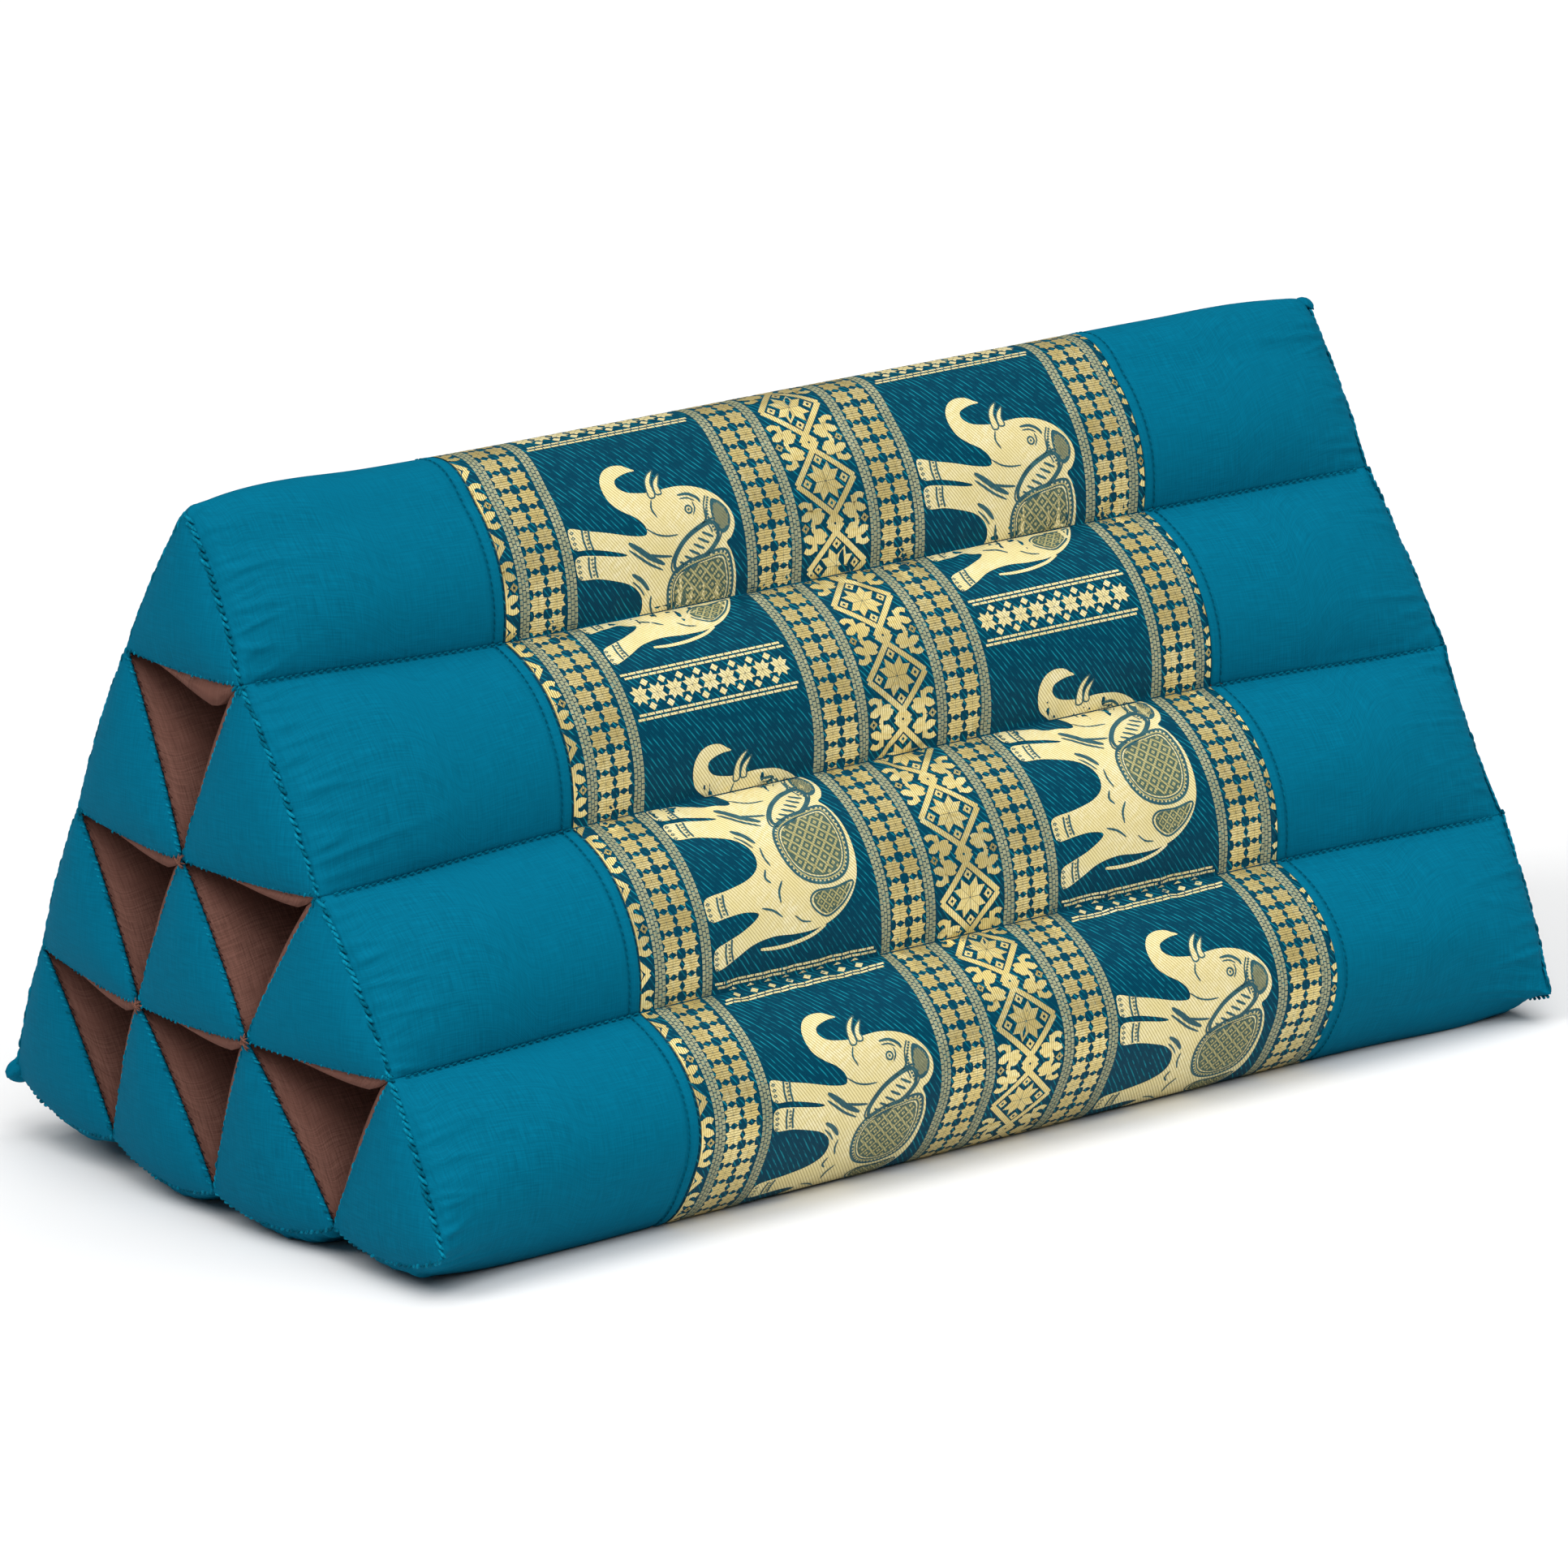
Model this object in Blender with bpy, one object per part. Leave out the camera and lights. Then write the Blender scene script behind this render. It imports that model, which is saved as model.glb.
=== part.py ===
"""Thai triangle cushion, the ten-chamber kind, lying on its broad side.

Ten long tubes of cotton are stuffed tight and sewn edge to edge in rows of one, two,
three and four, so that the section is a triangle made of small triangles. The six
upside-down triangles between the tubes stay open at both ends as pockets. A brocade
band wraps the middle, and each stuffed end is closed by a small triangular patch.

Metres, +Z up, +X along the length, -Y towards the front. The origin is under the
middle of the cushion, on the surface that it lies on.
"""

import math

import bmesh
import bpy
import numpy as np

# Driving dimensions
LENGTH = 0.490  # between the two end seams
WIDTH = 0.270  # across the base, seam to seam
HEIGHT = 0.230  # base seams to ridge seam
LIFT = 0.0142  # the base seams ride this high on the bottom tubes
ROWS = 4
BAND_HALF = 0.1403  # half the width of the brocade band
CLOTH = 0.0012
GAP = 0.0003

# How far each face swells past the straight line between its seams
OUTER_SWELL = 0.0134
FLOOR_SWELL = 0.0170
EDGE_SWELL = 0.0015  # of an outer face, at the end seam
FLOOR_EDGE_SWELL = 0.0060
SWELL_REACH = 0.055  # a face is fully round this far from the end
WALL_EDGE_SWELL = 0.0015  # of a pocket's wall, at its mouth
POCKET_DEPTH = 0.062  # where the three walls of a pocket meet
POCKET_RADIUS = 0.0200  # from the middle of a pocket to its walls
ROUNDNESS = 2.2  # power of the swelling's profile, 2 for a circle's arc
PATCH_PUFF = 0.0040

# The ridge and the two base edges have no seam, so the cover runs round them
RIDGE_REACH = 0.0395  # from the middle of the top tube
RIDGE_ANGLE = math.radians(40)
BASE_REACH = 0.0295
BASE_ANGLE = math.radians(72)

# Steps of the loft
OUTER_STEPS = 8
WALL_STEPS = 4
DEPTHS = (0.0, 0.005, 0.014, 0.028, 0.046, 0.064, 0.085)
CAP_RING = 0.55  # of the way from a patch's middle to its edge
NEARLY_STRAIGHT = 0.15  # sine of the turn under which two edges count as one

# Where the hand sewing left each joint of the left end, in millimetres off the even
# lattice. Keys are (level from the ridge, place from the back).
SETTLE_REACH = 0.070
LEFT_END = {
    # (level, place): (inward, forward, up)
    (0, 0): (2.4, 0.6, -0.5),
    (1, 0): (0.1, -1.5, 5.3),
    (1, 1): (-1.1, -1.4, 4.1),
    (2, 0): (-0.9, -0.7, 1.7),
    (2, 1): (-5.3, -0.4, -2.7),
    (2, 2): (0.8, 1.5, -4.0),
    (3, 0): (3.7, -0.4, 3.9),
    (3, 1): (-3.5, -0.1, -2.1),
    (3, 2): (-5.8, -1.0, -1.0),
    (3, 3): (2.7, 1.4, -2.3),
    (4, 0): (12.0, 0.0, 9.0),
    (4, 1): (5.2, 1.0, 0.5),
    (4, 2): (-0.3, 1.1, -3.3),
    (4, 3): (1.4, 1.0, -1.8),
    (4, 4): (-2.5, 0.0, 1.9),
}
# The right end differs along the front slope
RIGHT_END = LEFT_END | {
    (0, 0): (-0.3, 0.2, -3.3),
    (1, 1): (1.7, -0.2, -0.9),
    (2, 2): (-2.1, 1.9, -3.9),
    (3, 3): (0.7, 0.7, -2.5),
    (4, 0): (6.0, 0.0, 4.0),
    (4, 4): (8.9, 0.0, -3.5),
}
LEFT, RIGHT = -1, 1
ENDS = {LEFT: ("left", LEFT_END), RIGHT: ("right", RIGHT_END)}

OUTER, FLOOR, WALL = "outer", "floor", "wall"

TEAL = (0.0, 0.162, 0.270, 1.0)
PATCH_TEAL = (0.0, 0.130, 0.225, 1.0)
BROCADE = (0.215, 0.225, 0.130, 1.0)


def cloth(name, colour, roughness):
    """A plain cloth material."""
    material = bpy.data.materials.new(name)
    material.use_nodes = True
    shader = material.node_tree.nodes["Principled BSDF"]
    shader.inputs["Base Color"].default_value = colour
    shader.inputs["Roughness"].default_value = roughness
    shader.inputs["Metallic"].default_value = 0.0
    return material


def loft(name, rings, material, collection, poles=None):
    """One closed body through rings of equally many points. Its two ends run to the
    poles, or its last ring joins the first where there are none."""
    bm = bmesh.new()
    rows = [[bm.verts.new(point) for point in ring] for ring in rings]
    count = len(rows[0])
    pairs = list(zip(rows, rows[1:]))
    if poles is None:
        pairs.append((rows[-1], rows[0]))
    for low, high in pairs:
        for i in range(count):
            j = (i + 1) % count
            bm.faces.new((low[i], low[j], high[j], high[i]))
    for pole, ring in zip(poles or (), (rows[0], rows[-1])):
        tip = bm.verts.new(pole)
        for i in range(count):
            bm.faces.new((ring[i], ring[(i + 1) % count], tip))
    bmesh.ops.recalc_face_normals(bm, faces=bm.faces)
    mesh = bpy.data.meshes.new(name)
    bm.to_mesh(mesh)
    bm.free()
    mesh.shade_smooth()
    mesh.set_sharp_from_angle(angle=math.radians(50))
    mesh.materials.append(material)
    part = bpy.data.objects.new(name, mesh)
    collection.objects.link(part)
    return part


def seam_joint(level, place, side, depth):
    """The point where tubes are sewn together, at a depth in from one end. Near the end
    it leaves the even lattice as the sewing did."""
    inward, forward, up = np.array(ENDS[side][1][level, place]) / 1000
    settle = math.exp(-((depth / SETTLE_REACH) ** 2))
    x = side * (LENGTH / 2 - depth - inward * settle)
    y = WIDTH / (2 * ROWS) * (level - 2 * place) - forward * settle
    z = LIFT + HEIGHT * (1 - level / ROWS) + up * settle
    return np.array((x, y, z))


def tube_corners(row, column, side, depth):
    """The top, back and front corner of one tube's section."""
    return (
        seam_joint(row - 1, column - 1, side, depth),
        seam_joint(row, column - 1, side, depth),
        seam_joint(row, column, side, depth),
    )


def tube_faces(row, column):
    """What the back, lower and front face of a tube is."""
    back = OUTER if column == 1 else WALL
    lower = FLOOR if row == ROWS else WALL
    front = OUTER if column == row else WALL
    return back, lower, front


def roundness(depth):
    """0 at the end seam and 1 where a tube is fully round, as a quarter ellipse."""
    return math.sqrt(1 - (1 - min(depth / SWELL_REACH, 1)) ** 2)


def outer_face(start, end, edge, full, depth):
    """Points along an outer face, from its first corner up to the next one. It swells
    by edge at the end seam and by full where the tube is round."""
    t = np.arange(OUTER_STEPS)[:, None] / OUTER_STEPS
    along = (end - start)[1:]
    outward = np.array((0, -along[1], along[0])) / np.hypot(*along)
    profile = 1 - np.abs(2 * t - 1) ** ROUNDNESS
    swell = edge + (full - edge) * roundness(depth)
    return start + (end - start) * t + outward * swell * profile


def wall_face(start, end, far, depth):
    """Points along a pocket's wall. It swells towards the middle of the pocket, whose
    third corner is far, until the three walls shut it."""
    t = np.arange(WALL_STEPS)[:, None] / WALL_STEPS
    line = start + (end - start) * t
    middle = (start + end + far) / 3
    # Closed, the wall runs straight to the middle of the pocket and straight back
    to_middle = start + (middle - start) * 2 * t
    from_middle = middle + (end - middle) * (2 * t - 1)
    inward = np.where(t < 0.5, to_middle, from_middle) - line
    inward[:, 0] = 0
    room = np.maximum(np.linalg.norm(inward, axis=1, keepdims=True), GAP)
    swell = WALL_EDGE_SWELL + (POCKET_RADIUS - WALL_EDGE_SWELL) * depth / POCKET_DEPTH
    profile = 1 - np.abs(2 * t - 1) ** ROUNDNESS
    return line + inward * np.minimum(swell * profile / room, 1)


def round_off(ring, middle, corner, reach, angle, amount):
    """Draws the ring round a corner that has no seam. Distances from the section's middle
    pass smoothly to the given reach at the corner, over the given angle each way."""
    arms = (ring - middle)[:, 1:]
    length = np.hypot(arms[:, 0], arms[:, 1])
    aim = (corner - middle)[1:]
    turn = np.arccos(np.clip(arms @ aim / (length * np.hypot(*aim)), -1, 1))
    share = amount * np.where(turn < angle, (1 + np.cos(math.pi * turn / angle)) / 2, 0)
    rounded = ring.copy()
    rounded[:, 1:] = middle[1:] + arms * (1 + share * (reach / length - 1))[:, None]
    return rounded


def tube_ring(row, column, side, depth):
    """The outline of one tube's section, and the kind of each of its edges."""
    corners = tube_corners(row, column, side, depth)
    kinds = tube_faces(row, column)
    # The third corner of the pocket behind, under and in front of the tube
    far_joints = ((row - 1, column - 2), (row + 1, column), (row - 1, column))
    faces = []
    for kind, start, end, far in zip(kinds, corners, np.roll(corners, -1, axis=0), far_joints):
        if kind == WALL:
            faces.append(wall_face(start, end, seam_joint(*far, side, depth), depth))
        elif kind == FLOOR:
            faces.append(outer_face(start, end, FLOOR_EDGE_SWELL, FLOOR_SWELL, depth))
        else:
            faces.append(outer_face(start, end, EDGE_SWELL, OUTER_SWELL, depth))
    ring = np.concatenate(faces)
    edges = np.repeat(kinds, [len(face) for face in faces])
    middle = np.mean(corners, axis=0)
    seamless = {
        (1, 1): (corners[0], RIDGE_REACH, RIDGE_ANGLE),
        (ROWS, 1): (corners[1], BASE_REACH, BASE_ANGLE),
        (ROWS, ROWS): (corners[2], BASE_REACH, BASE_ANGLE),
    }
    if (row, column) in seamless:
        ring = round_off(ring, middle, *seamless[row, column], roundness(depth))
    # The surface presses the bottom tubes flat
    ring[:, 2] = np.maximum(ring[:, 2], 0)
    return ring, edges


def shrink(ring, amounts):
    """Moves each edge of a ring inward by its own amount, in the YZ plane."""
    edge = np.roll(ring, -1, axis=0) - ring
    normal = np.stack((edge[:, 2], -edge[:, 1]), axis=1)
    normal /= np.hypot(normal[:, 0], normal[:, 1])[:, None]
    middle = ring.mean(axis=0)[1:]
    inward = np.sign(np.sum(normal * (middle - ring[:, 1:]), axis=1).sum())
    normal *= inward
    before, amount_before = np.roll(normal, 1, axis=0), np.roll(amounts, 1)
    cross = before[:, 0] * normal[:, 1] - before[:, 1] * normal[:, 0]
    straight = np.abs(cross) < NEARLY_STRAIGHT
    safe = np.where(straight, 1, cross)
    move_y = (amount_before * normal[:, 1] - amounts * before[:, 1]) / safe
    move_z = (amounts * before[:, 0] - amount_before * normal[:, 0]) / safe
    both = before + normal
    both /= np.sum(both * normal, axis=1)[:, None]
    plain = both * np.maximum(amounts, amount_before)[:, None]
    moved = ring.copy()
    moved[:, 1] += np.where(straight, plain[:, 0], move_y)
    moved[:, 2] += np.where(straight, plain[:, 1], move_z)
    return moved


def tube_section(row, column, side, depth, recess=0.0):
    """A tube's section with its share of the gap to its neighbours, and with its outer
    faces drawn in by the recess that the band lies in."""
    ring, edges = tube_ring(row, column, side, depth)
    return shrink(ring, np.where(edges == WALL, GAP / 2, recess))


def puffed(ring, offset, side):
    """The middle point and the inner ring of an end patch, from its edge."""
    middle = ring.mean(axis=0)
    inner = middle + (ring - middle) * CAP_RING
    shift = np.array((side, 0, 0))
    inner = inner + shift * (offset + PATCH_PUFF * (1 - CAP_RING**2))
    return middle + shift * (offset + PATCH_PUFF), inner


def tube(row, column, material, collection):
    """One stuffed tube with its recess for the band."""
    rings = [tube_section(row, column, LEFT, depth) for depth in DEPTHS]
    tip_left, cap_left = puffed(rings[0], 0, LEFT)
    at_band = LENGTH / 2 - BAND_HALF - GAP
    rings.append(tube_section(row, column, LEFT, at_band))
    rings.append(tube_section(row, column, LEFT, at_band, CLOTH + GAP))
    rings.append(tube_section(row, column, RIGHT, at_band, CLOTH + GAP))
    rings.append(tube_section(row, column, RIGHT, at_band))
    rings += [tube_section(row, column, RIGHT, depth) for depth in reversed(DEPTHS)]
    tip_right, cap_right = puffed(rings[-1], 0, RIGHT)
    rings = [cap_left, *rings, cap_right]
    loft(f"chamber_{row}_{column}", rings, material, collection, (tip_left, tip_right))


def patch(row, column, side, material, collection):
    """The triangle of cotton that closes one tube at one end."""
    edge = tube_section(row, column, side, DEPTHS[0])
    shift = np.array((side, 0, 0))
    tip_in, inner_in = puffed(edge, GAP, side)
    tip_out, inner_out = puffed(edge, GAP + CLOTH, side)
    rings = (inner_in, edge + shift * GAP, edge + shift * (GAP + CLOTH), inner_out)
    name = f"patch_{ENDS[side][0]}_{row}_{column}"
    loft(name, rings, material, collection, (tip_in, tip_out))


def whole_outline(side, depth):
    """The outline of the whole cushion's section, round the outside of every tube."""
    pieces = []
    back = [(row, 1, 0) for row in range(1, ROWS + 1)]
    lower = [(ROWS, column, 1) for column in range(1, ROWS + 1)]
    front = [(row, row, 2) for row in range(ROWS, 0, -1)]
    for row, column, face in back + lower + front:
        ring = tube_ring(row, column, side, depth)[0]
        counts = [WALL_STEPS if kind == WALL else OUTER_STEPS for kind in tube_faces(row, column)]
        first = sum(counts[:face])
        pieces.append(ring[first : first + counts[face]])
    return np.concatenate(pieces)


def band(material, collection):
    """The brocade band, a sleeve that dips into every valley between the tubes."""
    depth = LENGTH / 2 - BAND_HALF
    outside = [whole_outline(side, depth) for side in (LEFT, RIGHT)]
    inside = [shrink(ring, np.full(len(ring), CLOTH)) for ring in reversed(outside)]
    loft("brocade_band", outside + inside, material, collection)


def build():
    """Clears the scene and makes the cushion."""
    for old in list(bpy.data.objects):
        bpy.data.objects.remove(old)
    collection = bpy.data.collections.new("thai_triangle_cushion")
    bpy.context.scene.collection.children.link(collection)
    cotton = cloth("teal cotton", TEAL, 0.85)
    patch_cotton = cloth("teal patch cotton", PATCH_TEAL, 0.88)
    brocade = cloth("gold figured brocade", BROCADE, 0.55)
    for row in range(1, ROWS + 1):
        for column in range(1, row + 1):
            tube(row, column, cotton, collection)
            for side in (LEFT, RIGHT):
                patch(row, column, side, patch_cotton, collection)
    band(brocade, collection)


build()
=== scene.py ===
# %% [markdown]
# # Thai triangle cushion
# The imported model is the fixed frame: ten stuffed tubes sewn into a triangle, twenty end
# patches and one brocade band. This script dresses them in cloth, with the sewing and
# the woven figures that the solids leave out. Lengths are in metres unless a name ends
# in _mm.

# %% Load the frame
import math

import bmesh
import bpy
import numpy as np
from mathutils import Matrix, Vector
from mathutils.geometry import delaunay_2d_cdt


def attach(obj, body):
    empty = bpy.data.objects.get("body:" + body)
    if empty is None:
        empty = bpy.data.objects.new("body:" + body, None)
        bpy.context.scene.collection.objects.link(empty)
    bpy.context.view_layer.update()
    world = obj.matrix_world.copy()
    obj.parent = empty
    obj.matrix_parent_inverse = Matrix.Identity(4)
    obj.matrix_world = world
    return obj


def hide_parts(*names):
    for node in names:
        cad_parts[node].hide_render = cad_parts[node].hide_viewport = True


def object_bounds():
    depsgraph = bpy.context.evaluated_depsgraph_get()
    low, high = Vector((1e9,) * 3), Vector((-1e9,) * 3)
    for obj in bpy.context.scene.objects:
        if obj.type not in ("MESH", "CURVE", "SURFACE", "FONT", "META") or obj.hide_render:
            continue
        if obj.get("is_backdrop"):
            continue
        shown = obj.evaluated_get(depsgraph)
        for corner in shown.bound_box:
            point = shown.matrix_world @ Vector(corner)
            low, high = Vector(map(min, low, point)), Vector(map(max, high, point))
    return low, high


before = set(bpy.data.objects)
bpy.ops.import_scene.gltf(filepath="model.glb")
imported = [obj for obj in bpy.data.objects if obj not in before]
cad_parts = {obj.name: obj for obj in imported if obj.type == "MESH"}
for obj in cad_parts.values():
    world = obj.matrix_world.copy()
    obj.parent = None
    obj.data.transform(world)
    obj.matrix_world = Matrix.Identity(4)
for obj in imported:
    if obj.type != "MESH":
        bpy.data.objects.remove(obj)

CAD_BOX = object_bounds()

# %% [markdown]
# ## Sizes
# The same named sizes that shape the solids, so that every piece lies where they are.
# The tubes sit on a lattice of seams, counted by level from the ridge and by place from
# the back.

# %% Sizes of the solids
LENGTH = 0.490
WIDTH = 0.270
HEIGHT = 0.230
LIFT = 0.0142
ROWS = 4
BAND_HALF = 0.1403
CLOTH = 0.0012
GAP = 0.0003
OUTER_SWELL = 0.0134
FLOOR_SWELL = 0.0170
EDGE_SWELL = 0.0015
FLOOR_EDGE_SWELL = 0.0060
SWELL_REACH = 0.055
WALL_EDGE_SWELL = 0.0015
POCKET_DEPTH = 0.062
POCKET_RADIUS = 0.0200
ROUNDNESS = 2.2
PATCH_PUFF = 0.0040
RIDGE_REACH = 0.0395
RIDGE_ANGLE = math.radians(40)
BASE_REACH = 0.0295
BASE_ANGLE = math.radians(72)
SETTLE_REACH = 0.070
WALL_CURVE = 4.0  # the pockets' walls keep apart for longer than a straight taper
LIP_OVER_FIRST = 0.0100
LIP_OVER = 0.0048
LIP_SIDE = 0.0030
BULGE_BACK = 0.0052
BULGE_REACH = 0.0070
LIP_REACH = 0.011
LEFT_END = {
    # (level, place): (inward, forward, up), in millimetres off the even lattice
    (0, 0): (2.4, 0.6, -0.5),
    (1, 0): (0.1, -1.5, 5.3),
    (1, 1): (-1.1, -1.4, 4.1),
    (2, 0): (-0.9, -0.7, 1.7),
    (2, 1): (-5.3, -0.4, -2.7),
    (2, 2): (0.8, 1.5, -4.0),
    (3, 0): (3.7, -0.4, 3.9),
    (3, 1): (-3.5, -0.1, -2.1),
    (3, 2): (-5.8, -1.0, -1.0),
    (3, 3): (2.7, 1.4, -2.3),
    (4, 0): (12.0, 0.0, 9.0),
    (4, 1): (5.2, 1.0, 0.5),
    (4, 2): (-0.3, 1.1, -3.3),
    (4, 3): (1.4, 1.0, -1.8),
    (4, 4): (-2.5, 0.0, 1.9),
}
RIGHT_END = LEFT_END | {
    (0, 0): (-0.3, 0.2, -3.3),
    (1, 1): (1.7, -0.2, -0.9),
    (2, 2): (-2.1, 1.9, -3.9),
    (3, 3): (0.7, 0.7, -2.5),
    (4, 0): (6.0, 0.0, 4.0),
    (4, 4): (8.9, 0.0, -3.5),
}
LEFT, RIGHT = -1, 1
# How far the end seam of a front face bows inward between its corners
END_BOW = {(3, RIGHT): 0.0035, (2, RIGHT): 0.0008, (1, LEFT): 0.0006}
ENDS = {LEFT: ("left", LEFT_END), RIGHT: ("right", RIGHT_END)}
OUTER, FLOOR, WALL = "outer", "floor", "wall"
TUBES = [(row, column) for row in range(1, ROWS + 1) for column in range(1, row + 1)]

# %% [markdown]
# ## Materials
# Each finish is a small node tree. Colours are written as on a screen and turned into
# linear light by one function. Patterns are laid out in real millimetres from each
# piece's own cloth coordinates.


# %% Node helpers
def linear(code):
    """A screen colour such as 1A2B3C in linear light: ((c + 0.055) / 1.055) ** 2.4."""
    parts = [int(code[i : i + 2], 16) / 255 for i in (0, 2, 4)]
    return (*[c / 12.92 if c <= 0.04045 else ((c + 0.055) / 1.055) ** 2.4 for c in parts], 1.0)


def add(tree, kind, settings=None, **links):
    """Adds a node. settings are its properties and, by name or number, its inputs' values.
    links are inputs by name with spaces as underscores, or in0, in1 by number."""
    node = tree.nodes.new(kind)
    for key, value in (settings or {}).items():
        if isinstance(key, int) or key in node.inputs:
            node.inputs[key].default_value = value
        else:
            setattr(node, key, value)
    for key, socket in links.items():
        if key.startswith("in") and key[2:].isdigit():
            target = node.inputs[int(key[2:])]
        else:
            target = node.inputs[key.replace("_", " ")]
        tree.links.new(socket, target)
    return node


def new_material(name, colour, roughness, sheen=0.0, specular=0.3):
    """A cloth material with its shader. Gives the tree and the shader too."""
    material = bpy.data.materials.new(name)
    material.use_nodes = True
    shader = material.node_tree.nodes["Principled BSDF"]
    shader.inputs["Base Color"].default_value = linear(colour)
    shader.inputs["Roughness"].default_value = roughness
    shader.inputs["Specular IOR Level"].default_value = specular
    shader.inputs["Sheen Weight"].default_value = sheen
    shader.inputs["Sheen Roughness"].default_value = 0.5
    return material, material.node_tree, shader


def cloth_mm(tree, turn=0.0, stretch=(1.0, 1.0)):
    """The cloth coordinates in millimetres, turned by degrees and stretched."""
    place = add(tree, "ShaderNodeUVMap", {"uv_map": "cloth"})
    scale = (1000 * stretch[0], 1000 * stretch[1], 1)
    turned = {"Rotation": (0, 0, math.radians(turn))}
    first = add(tree, "ShaderNodeMapping", turned, Vector=place.outputs["UV"])
    return add(tree, "ShaderNodeMapping", {"Scale": scale}, Vector=first.outputs["Vector"])


def mix_colours(tree, factor, first, second):
    """Mixes two colours, each one a code or a socket, by a factor socket."""
    node = add(tree, "ShaderNodeMix", {"data_type": "RGBA"})
    tree.links.new(factor, node.inputs["Factor"])
    for slot, value in (("A", first), ("B", second)):
        socket = [s for s in node.inputs if s.name == slot and s.type == "RGBA"][0]
        if isinstance(value, str):
            socket.default_value = linear(value)
        else:
            tree.links.new(value, socket)
    return [s for s in node.outputs if s.type == "RGBA"][0]


def ramp(tree, factor, low, high):
    """0 under low and 1 over high, of a factor socket."""
    node = add(tree, "ShaderNodeMapRange", {"From Min": low, "From Max": high}, Value=factor)
    return node.outputs["Result"]


def noise(tree, place, scale, detail=2.0, roughness=0.5):
    """A noise at so many features a millimetre."""
    settings = {"Scale": scale, "Detail": detail, "Roughness": roughness}
    return add(tree, "ShaderNodeTexNoise", settings, Vector=place.outputs["Vector"])


# %% Cotton
def cotton(name, base, light, dark, roughness=0.82, slub=0.35):
    """Plain-woven cotton, piece dyed: slubs along both threads, soft clouds of dye and a
    fine thread relief."""
    material, tree, shader = new_material(name, base, roughness, sheen=0.0, specular=0.03)
    along = noise(tree, cloth_mm(tree, 0, (0.05, 1.0)), 1.9, 3.0, 0.6)
    across = noise(tree, cloth_mm(tree, 0, (1.0, 0.05)), 1.9, 3.0, 0.6)
    clouds = noise(tree, cloth_mm(tree), 0.02, 3.0, 0.6)
    both = add(tree, "ShaderNodeMath", {"operation": "ADD"}, in0=along.outputs["Fac"],
               in1=across.outputs["Fac"])
    threads = ramp(tree, both.outputs[0], 0.80, 1.25)
    woven = mix_colours(tree, threads, dark, light)
    plain = mix_colours(tree, ramp(tree, clouds.outputs["Fac"], 0.3, 0.7), base, woven)
    blend = add(tree, "ShaderNodeMix", {"data_type": "RGBA", "Factor": slub})
    sockets = [s for s in blend.inputs if s.type == "RGBA"]
    tree.links.new(plain, sockets[0])
    tree.links.new(woven, sockets[1])
    tree.links.new([s for s in blend.outputs if s.type == "RGBA"][0], shader.inputs["Base Color"])
    relief = add(tree, "ShaderNodeBump", {"Strength": 0.35, "Distance": 0.0002},
                 Height=both.outputs[0])
    tree.links.new(relief.outputs["Normal"], shader.inputs["Normal"])
    return material


TEAL = cotton("teal cotton, piece dyed", "00617C", "006A87", "005871")
PATCH_TEAL = cotton("teal cotton, piece dyed, end patches", "00627E", "006A87", "005973")
BROWN = cotton("plum brown cotton, piece dyed", "704C42", "835E53", "503730", slub=0.0)


def stripes(tree, turn, period_mm, low, high):
    """Lines across the cloth: 0 on a line and 1 between, from the distance to the nearest
    multiple of the period, as a share of it."""
    place = cloth_mm(tree, turn)
    split = add(tree, "ShaderNodeSeparateXYZ", Vector=place.outputs["Vector"])
    scaled = add(tree, "ShaderNodeMath", {"operation": "DIVIDE", 1: period_mm},
                 in0=split.outputs["X"])
    wave = add(tree, "ShaderNodeMath", {"operation": "PINGPONG", 1: 0.5}, in0=scaled.outputs[0])
    return ramp(tree, wave.outputs[0], low, high), wave.outputs[0]


def brocade_ground():
    """Dark teal twill: diagonal lines of light floats, broken into dashes."""
    material, tree, shader = new_material("teal brocade ground, jacquard woven", "004A60", 0.5,
                                          specular=0.05)
    line, wave = stripes(tree, TWILL_TURN, 1.8, 0.07, 0.17)
    dash = noise(tree, cloth_mm(tree, TWILL_TURN, (1.4, 0.22)), 1.0, 2.0, 0.6)
    broken = ramp(tree, dash.outputs["Fac"], 0.44, 0.58)
    glint = add(tree, "ShaderNodeMath", {"operation": "SUBTRACT", 0: 1.0}, in1=line)
    shown = add(tree, "ShaderNodeMath", {"operation": "MULTIPLY"}, in0=glint.outputs[0],
                in1=broken)
    fine, _ = stripes(tree, TWILL_TURN, 0.58, 0.05, 0.35)
    plain = mix_colours(tree, fine, "003144", "004056")
    clouds = noise(tree, cloth_mm(tree), 0.03, 2.0)
    warm = mix_colours(tree, ramp(tree, clouds.outputs["Fac"], 0.3, 0.7), plain, "00394C")
    tree.links.new(mix_colours(tree, shown.outputs[0], warm, "107C8C"), shader.inputs["Base Color"])
    relief = add(tree, "ShaderNodeBump", {"Strength": 0.5, "Distance": 0.0002}, Height=wave)
    tree.links.new(relief.outputs["Normal"], shader.inputs["Normal"])
    return material


TWILL_TURN = 35
BROCADE = brocade_ground()


# %% [markdown]
# ## Mesh helpers
# A surface is worked out as one array of points on a grid, and goes into its mesh in one
# step. Every mesh carries cloth coordinates: metres along the cushion and round it.


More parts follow.
